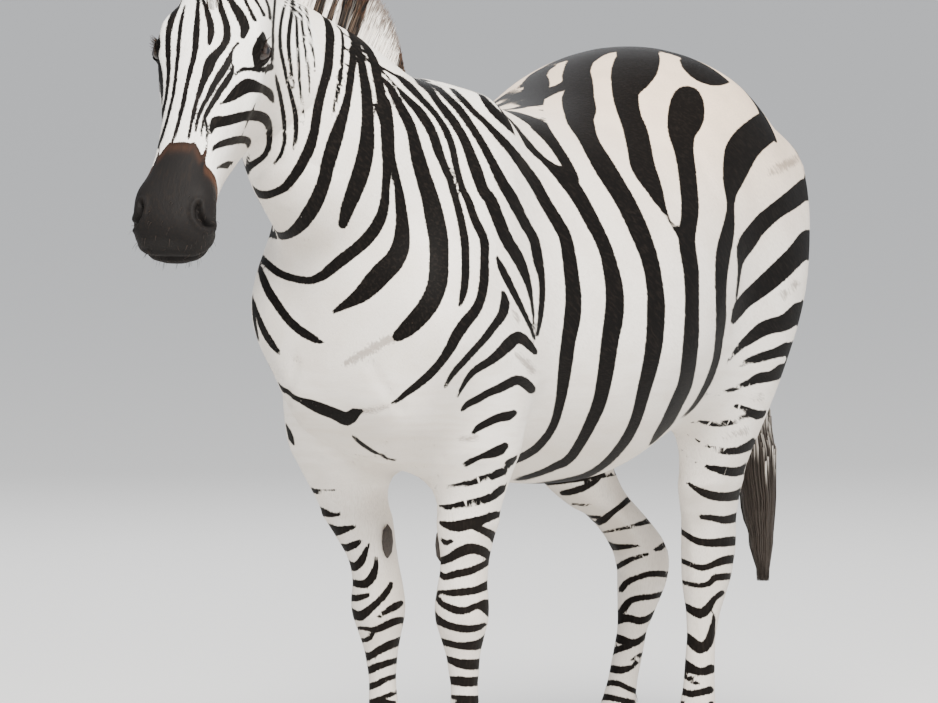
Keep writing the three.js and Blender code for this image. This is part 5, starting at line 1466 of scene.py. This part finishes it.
mane_hair = hair_material("striped mane hair", (0.055, 0.026, 0.014, 1), 0.80, 0.85)
MANE_LOCKS = 4500  # in each of two pieces
mane_node = bmesh.new()
mane_node.from_mesh(nodes["mane"].data)
bmesh.ops.remove_doubles(mane_node, verts=mane_node.verts, dist=1e-5)
mane_tree = BVHTree.FromBMesh(mane_node)
mane_node.free()
centre_side = np.where(is_head, side_head, side_neck)
under_mane = np.array([mane_tree.find_nearest(Vector(p), 0.011)[0] is not None for p in co])
under_mane &= (np.abs(centre_side) < 0.024) & ~is_ear & (co[:, 2] > 1.2)
side_way = np.where(is_head[:, None], np.array(HEAD_SIDE), np.array(NECK_SIDE))
for number in (1, 2):
    roots, near = scattered(under_mane, MANE_LOCKS, 0.006)
    sideways = side_way[near]
    up = unit(normals[near] - sideways * (np.sum(normals[near] * sideways, axis=1) * 0.85)[:, None])
    start = roots - normals[near] * 0.003
    length = np.zeros(len(roots))
    for i in range(len(roots)):
        place = Vector(start[i])
        way = Vector(up[i])
        hit = mane_tree.ray_cast(place + way * 0.25, -way)[0]
        if hit is not None:
            length[i] = (hit - place).dot(way)
    kept = (length > 0.012) & (length < 0.118) & (up[:, 2] > 0.45)
    start, near, up, sideways, length = start[kept], near[kept], up[kept], sideways[kept], length[kept]
    length = length * dice.uniform(0.86, 1.005, len(length))
    back = unit(np.cross(up, sideways))
    lean = unit(up + sideways * dice.normal(0, 0.05, (len(up), 1))
                + back * dice.normal(0, 0.05, (len(up), 1)))
    across = sideways * dice.normal(0, 1, (len(up), 1)) + back * dice.normal(0, 1, (len(up), 1))
    grow(f"mane_{number}", bent(start, up, lean, length, 5), across, dice.uniform(0.0035, 0.0065, len(up)),
         dice.uniform(0.0012, 0.0020, len(up)), near, mane_hair, ("mane",))

# ---- Tail ----
# A slim dock ends in a brush of long coarse dark hair that hangs to the hocks, with paler hair at its root.
tail_hair = hair_material("coarse tail hair", (0.018, 0.012, 0.009, 1), 0.02, 0.96, 0.48)
TAIL_LOCKS = 2000  # in each of two pieces
TAIL_RINGS = 11
brush = rows_of(nodes["tail_brush"].data)
brush_top, brush_tip = brush[:, 2].max(), brush[:, 2].min()
levels = np.linspace(brush_top, brush_tip, 13)
brush_middle, brush_half = [], []
for level in levels:
    here = brush[np.abs(brush[:, 2] - level) < 0.040]
    brush_middle.append((here.min(0) + here.max(0)) / 2)
    brush_half.append((here.max(0) - here.min(0)) / 2)
brush_middle, brush_half = np.array(brush_middle), np.array(brush_half)
count = TAIL_LOCKS
for number in (1, 2):
    turn = dice.uniform(0, 2 * np.pi, count)
    out = np.sqrt(dice.uniform(0.05, 1, count))
    begin = brush_top + 0.035 - (brush_top - brush_tip) * dice.beta(1.1, 2.4, count) * 0.55
    reach = (brush_top - brush_tip) * dice.uniform(0.42, 0.95, count)
    end = np.maximum(begin - reach, brush_tip + 0.004)
    s = np.linspace(0, 1, TAIL_RINGS + 1)[None, :]
    z = begin[:, None] + (end - begin)[:, None] * s
    gather = 1 - 0.35 * s
    turned = turn[:, None] + 0.05 * np.sin(s * 9 + turn[:, None] * 3)
    from_middle = out[:, None] * gather * 0.9
    x, y = (np.interp(-z, -levels, brush_middle[:, k])
            + np.interp(-z, -levels, brush_half[:, k]) * way * from_middle
            for k, way in enumerate((np.cos(turned), np.sin(turned))))
    middles = np.stack([x, y, z], axis=2)
    near = nearest_points(middles[:, 0])
    around = np.stack([-np.sin(turn), np.cos(turn), np.zeros(count)], axis=1)
    grow(f"tail_brush_hair_{number}", middles, around + dice.normal(0, 0.4, (count, 3)),
         dice.uniform(0.0030, 0.0060, count), dice.uniform(0.0012, 0.0022, count), near, tail_hair,
         ("tail_brush",))
dock_hair = hair_material("short dock hair", (0.10, 0.07, 0.05, 1), 0.85, 0.4)
roots, near = scattered(dock.astype(float), 2600, 0.002)
grow("dock_hair", bent(roots - normals[near] * 0.001, unit(lie[near] + normals[near] * 0.22),
                       unit(np.array(DOWN) + normals[near] * 0.05), dice.uniform(0.010, 0.022, len(near)), 3),
     np.cross(lie[near], normals[near]) + dice.normal(0, 0.2, (len(near), 3)),
     dice.uniform(0.0020, 0.0034, len(near)), np.full(len(near), 0.0008), near, dock_hair)

# ---- Ear hair ----
# Short close hair outside each shell, rooted in its skin, and longer pale hair inside it that leans up the
# shell and out of its mouth.
short_hair = hair_material("short coat hair", (0.30, 0.25, 0.20, 1), 0.98, 0.3)


def short_fur(name, mask, count, spread, sunk, stand, lengths, widths, thick, stray=0.15):
    """Short locks over part of the skin, standing from it by one slope at the root and another at the tip."""
    roots, near = scattered(mask.astype(float), count, spread)
    out, flow = normals[near], lie[near]
    middles = bent(roots - out * sunk, unit(flow + out * stand[0]), unit(flow + out * stand[1]),
                   dice.uniform(*lengths, len(near)), 2)
    across = np.cross(flow, out)
    if stray:
        across = across + dice.normal(0, stray, across.shape)
    grow(name, middles, across, dice.uniform(*widths, len(near)), np.full(len(near), thick), near,
         short_hair)


short_fur("ear_coat", outer_ear, 4200, 0.002, 0.0006, (0.16, 0.05), (0.006, 0.010), (0.0018, 0.0028), 0.0006)
inner_hair = hair_material("pale inner ear hair", (0.62, 0.55, 0.47, 1), 0.5, 0.6)
roots, near = scattered(inner_ear * ramp(ear_height, -0.004, 0.012) * (1 - ramp(ear_height, 0.135, 0.155)),
                        3800, 0.002)
mouth_way = np.zeros((len(near), 3))
axis_way = np.zeros((len(near), 3))
for side in (1, -1):
    _, axis, mouth, _ = ear_frame(side)
    mine = side_head[near] * side > 0
    mouth_way[mine], axis_way[mine] = mouth, axis
grow("ear_inner_hair", bent(roots, unit(mouth_way * 0.15 + axis_way + normals[near] * 0.16),
                            unit(axis_way + mouth_way * 0.10 + normals[near] * 0.02),
                            dice.uniform(0.009, 0.017, len(near)), 3),
     dice.normal(0, 1, (len(near), 3)), dice.uniform(0.0012, 0.0022, len(near)), np.full(len(near), 0.0006),
     near, inner_hair)

# ---- Face hair ----
# Lashes stand along each upper lid, long bristles grow round the nostrils, lips and chin, and the jaw has a
# short soft edge of hair.
bristle = hair_material("dark bristles", (0.030, 0.022, 0.018, 1), 0.3, 0.9, 0.4)
lash_roots, lash_first, lash_last = [], [], []
for name, eye in eye_middles.items():
    outward, onward, upward = (np.array(way) for way in eye_ways[name])
    for theta in np.radians(np.linspace(18, 162, 46)):
        rim = 1 / math.hypot(math.cos(theta) / OPENING[0], math.sin(theta) / OPENING[1]) + math.radians(3)
        flat = onward * math.cos(theta) + upward * math.sin(theta)
        ray = outward * math.cos(rim) + flat * math.sin(rim)
        lash_roots.append(np.array(eye) + ray * (LID_RADIUS + 0.0002))
        lash_first.append(outward * 0.7 + flat * 0.45 + dice.normal(0, 0.06, 3))
        lash_last.append(outward * 0.75 + flat * 0.35 - onward * 0.1 + dice.normal(0, 0.06, 3))
lash_roots, lash_first, lash_last = (np.array(rows) for rows in (lash_roots, lash_first, lash_last))
lash_first, lash_last = unit(lash_first), unit(lash_last)
near = nearest_points(lash_roots)
grow("eyelashes", bent(lash_roots, lash_first, lash_last, dice.uniform(0.010, 0.015, len(near)), 4),
     dice.normal(0, 1, (len(near), 3)), np.full(len(near), 0.0010), np.full(len(near), 0.0006), near,
     bristle)
snout = is_head * ramp(along_head, 0.46, 0.50) * (0.35 + ramp(-out_head, -0.02, 0.06))
roots, near = scattered(snout, 90, 0.003)
grow("bristles", bent(roots - normals[near] * 0.001, unit(normals[near] + lie[near] * 0.3),
                      unit(normals[near] * 0.6 + lie[near] + np.array(DOWN) * 0.4),
                      dice.uniform(0.010, 0.020, len(near)), 4),
     dice.normal(0, 1, (len(near), 3)), np.full(len(near), 0.0008), np.full(len(near), 0.0005), near,
     bristle)
jaw = is_head * ramp(-out_head, 0.085, 0.12) * ramp(along_head, 0.02, 0.08)
short_fur("jaw_hair", jaw, 3600, 0.003, 0.0006, (0.20, 0.04), (0.004, 0.007), (0.0010, 0.0017), 0.0005,
          stray=0)

# ---- Leg hair ----
# Hair hangs over each coronet and in a small tuft behind each fetlock, and edges the backs of the legs. It is
# rooted in the skin and follows its lie.
coronet = (co[:, 2] < 0.092) & (co[:, 2] > 0.040)
ergot = (co[:, 2] > 0.095) & (co[:, 2] < 0.185) & (normals[:, 1] > 0.25)
behind_leg = is_leg & (co[:, 2] > 0.18) & (co[:, 2] < 0.56) & (normals[:, 1] > 0.2)
for name, mask, count, lengths, stand, width in (
        ("coronet_hair", coronet, 3600, (0.007, 0.013), 0.22, 0.0022),
        ("fetlock_hair", ergot, 2600, (0.012, 0.024), 0.42, 0.0024),
        ("leg_edge_hair", behind_leg, 5000, (0.007, 0.011), 0.14, 0.0022)):
    short_fur(name, mask, count, 0.003, 0.0008, (stand, stand * 0.2), lengths,
              (width * 0.7, width * 1.2), 0.0006)

# ---- Body hair ----
# The short coat breaks the outline where the form turns under: along the belly's line, the elbows and
# armpits, at the breast, and along each side of the crest.
turned_under = ramp(-normals[:, 2], 0.55, 0.9) * (co[:, 2] > 0.55) * trunk_part
breast_line = ramp(-co[:, 1], 0.40, 0.50) * (co[:, 2] > 0.62) * (co[:, 2] < 1.12) * trunk_part
off_centre = np.abs(centre_side)
crest_side = (off_centre < 0.045) & (off_centre > 0.012) & (co[:, 2] > 1.2) & ~is_ear & ~is_head
crest_side = crest_side * ramp(out_neck, 0.05, 0.10)
for name, mask, count in (("belly_hair", turned_under, 6000), ("breast_hair", breast_line, 5500),
                          ("crest_hair", crest_side, 4400)):
    short_fur(name, mask, count, 0.005, 0.0008, (0.10, 0.02), (0.006, 0.010), (0.0018, 0.0030), 0.0005,
              stray=0.12)

# ---- Floor and lights ----
# A plain pale floor that reaches past the view, under a soft key lamp from her left front, a weak fill from
# her left and a cool lamp behind her.
floor_shape = bmesh.new()
bmesh.ops.create_grid(floor_shape, x_segments=1, y_segments=1, size=60)
floor_mesh = bpy.data.meshes.new("floor")
floor_shape.to_mesh(floor_mesh)
floor_shape.free()
floor = bpy.data.objects.new("floor", floor_mesh)
bpy.context.scene.collection.objects.link(floor)
paper = bpy.data.materials.new("pale floor")
paper.use_nodes = True
paper.node_tree.nodes["Principled BSDF"].inputs["Base Color"].default_value = (0.88, 0.87, 0.85, 1)
paper.node_tree.nodes["Principled BSDF"].inputs["Roughness"].default_value = 0.9
floor_mesh.materials.append(paper)

world = bpy.data.worlds.new("studio")
world.use_nodes = True
world.node_tree.nodes["Background"].inputs["Color"].default_value = (0.92, 0.95, 1.0, 1)
world.node_tree.nodes["Background"].inputs["Strength"].default_value = 0.74
bpy.context.scene.world = world


def area_light(name, place, aim, size, power, colour):
    data = bpy.data.lights.new(name, "AREA")
    data.shape = "SQUARE"
    data.size = size
    data.energy = power
    data.color = colour
    lamp = bpy.data.objects.new(name, data)
    lamp.location = place
    lamp.rotation_mode = "QUATERNION"
    lamp.rotation_quaternion = (Vector(aim) - Vector(place)).to_track_quat("-Z", "Y")
    bpy.context.scene.collection.objects.link(lamp)


area_light("key", (2.5, -3.0, 5.0), (0, 0, 0.9), 2.2, 980, (1.0, 0.97, 0.92))
area_light("fill", (5.0, 1.0, 2.5), (0, 0, 0.8), 4.0, 90, (1.0, 0.98, 0.95))
area_light("rim", (-3.0, 4.0, 3.5), (0, 0, 0.9), 3.0, 110, (0.95, 0.97, 1.0))
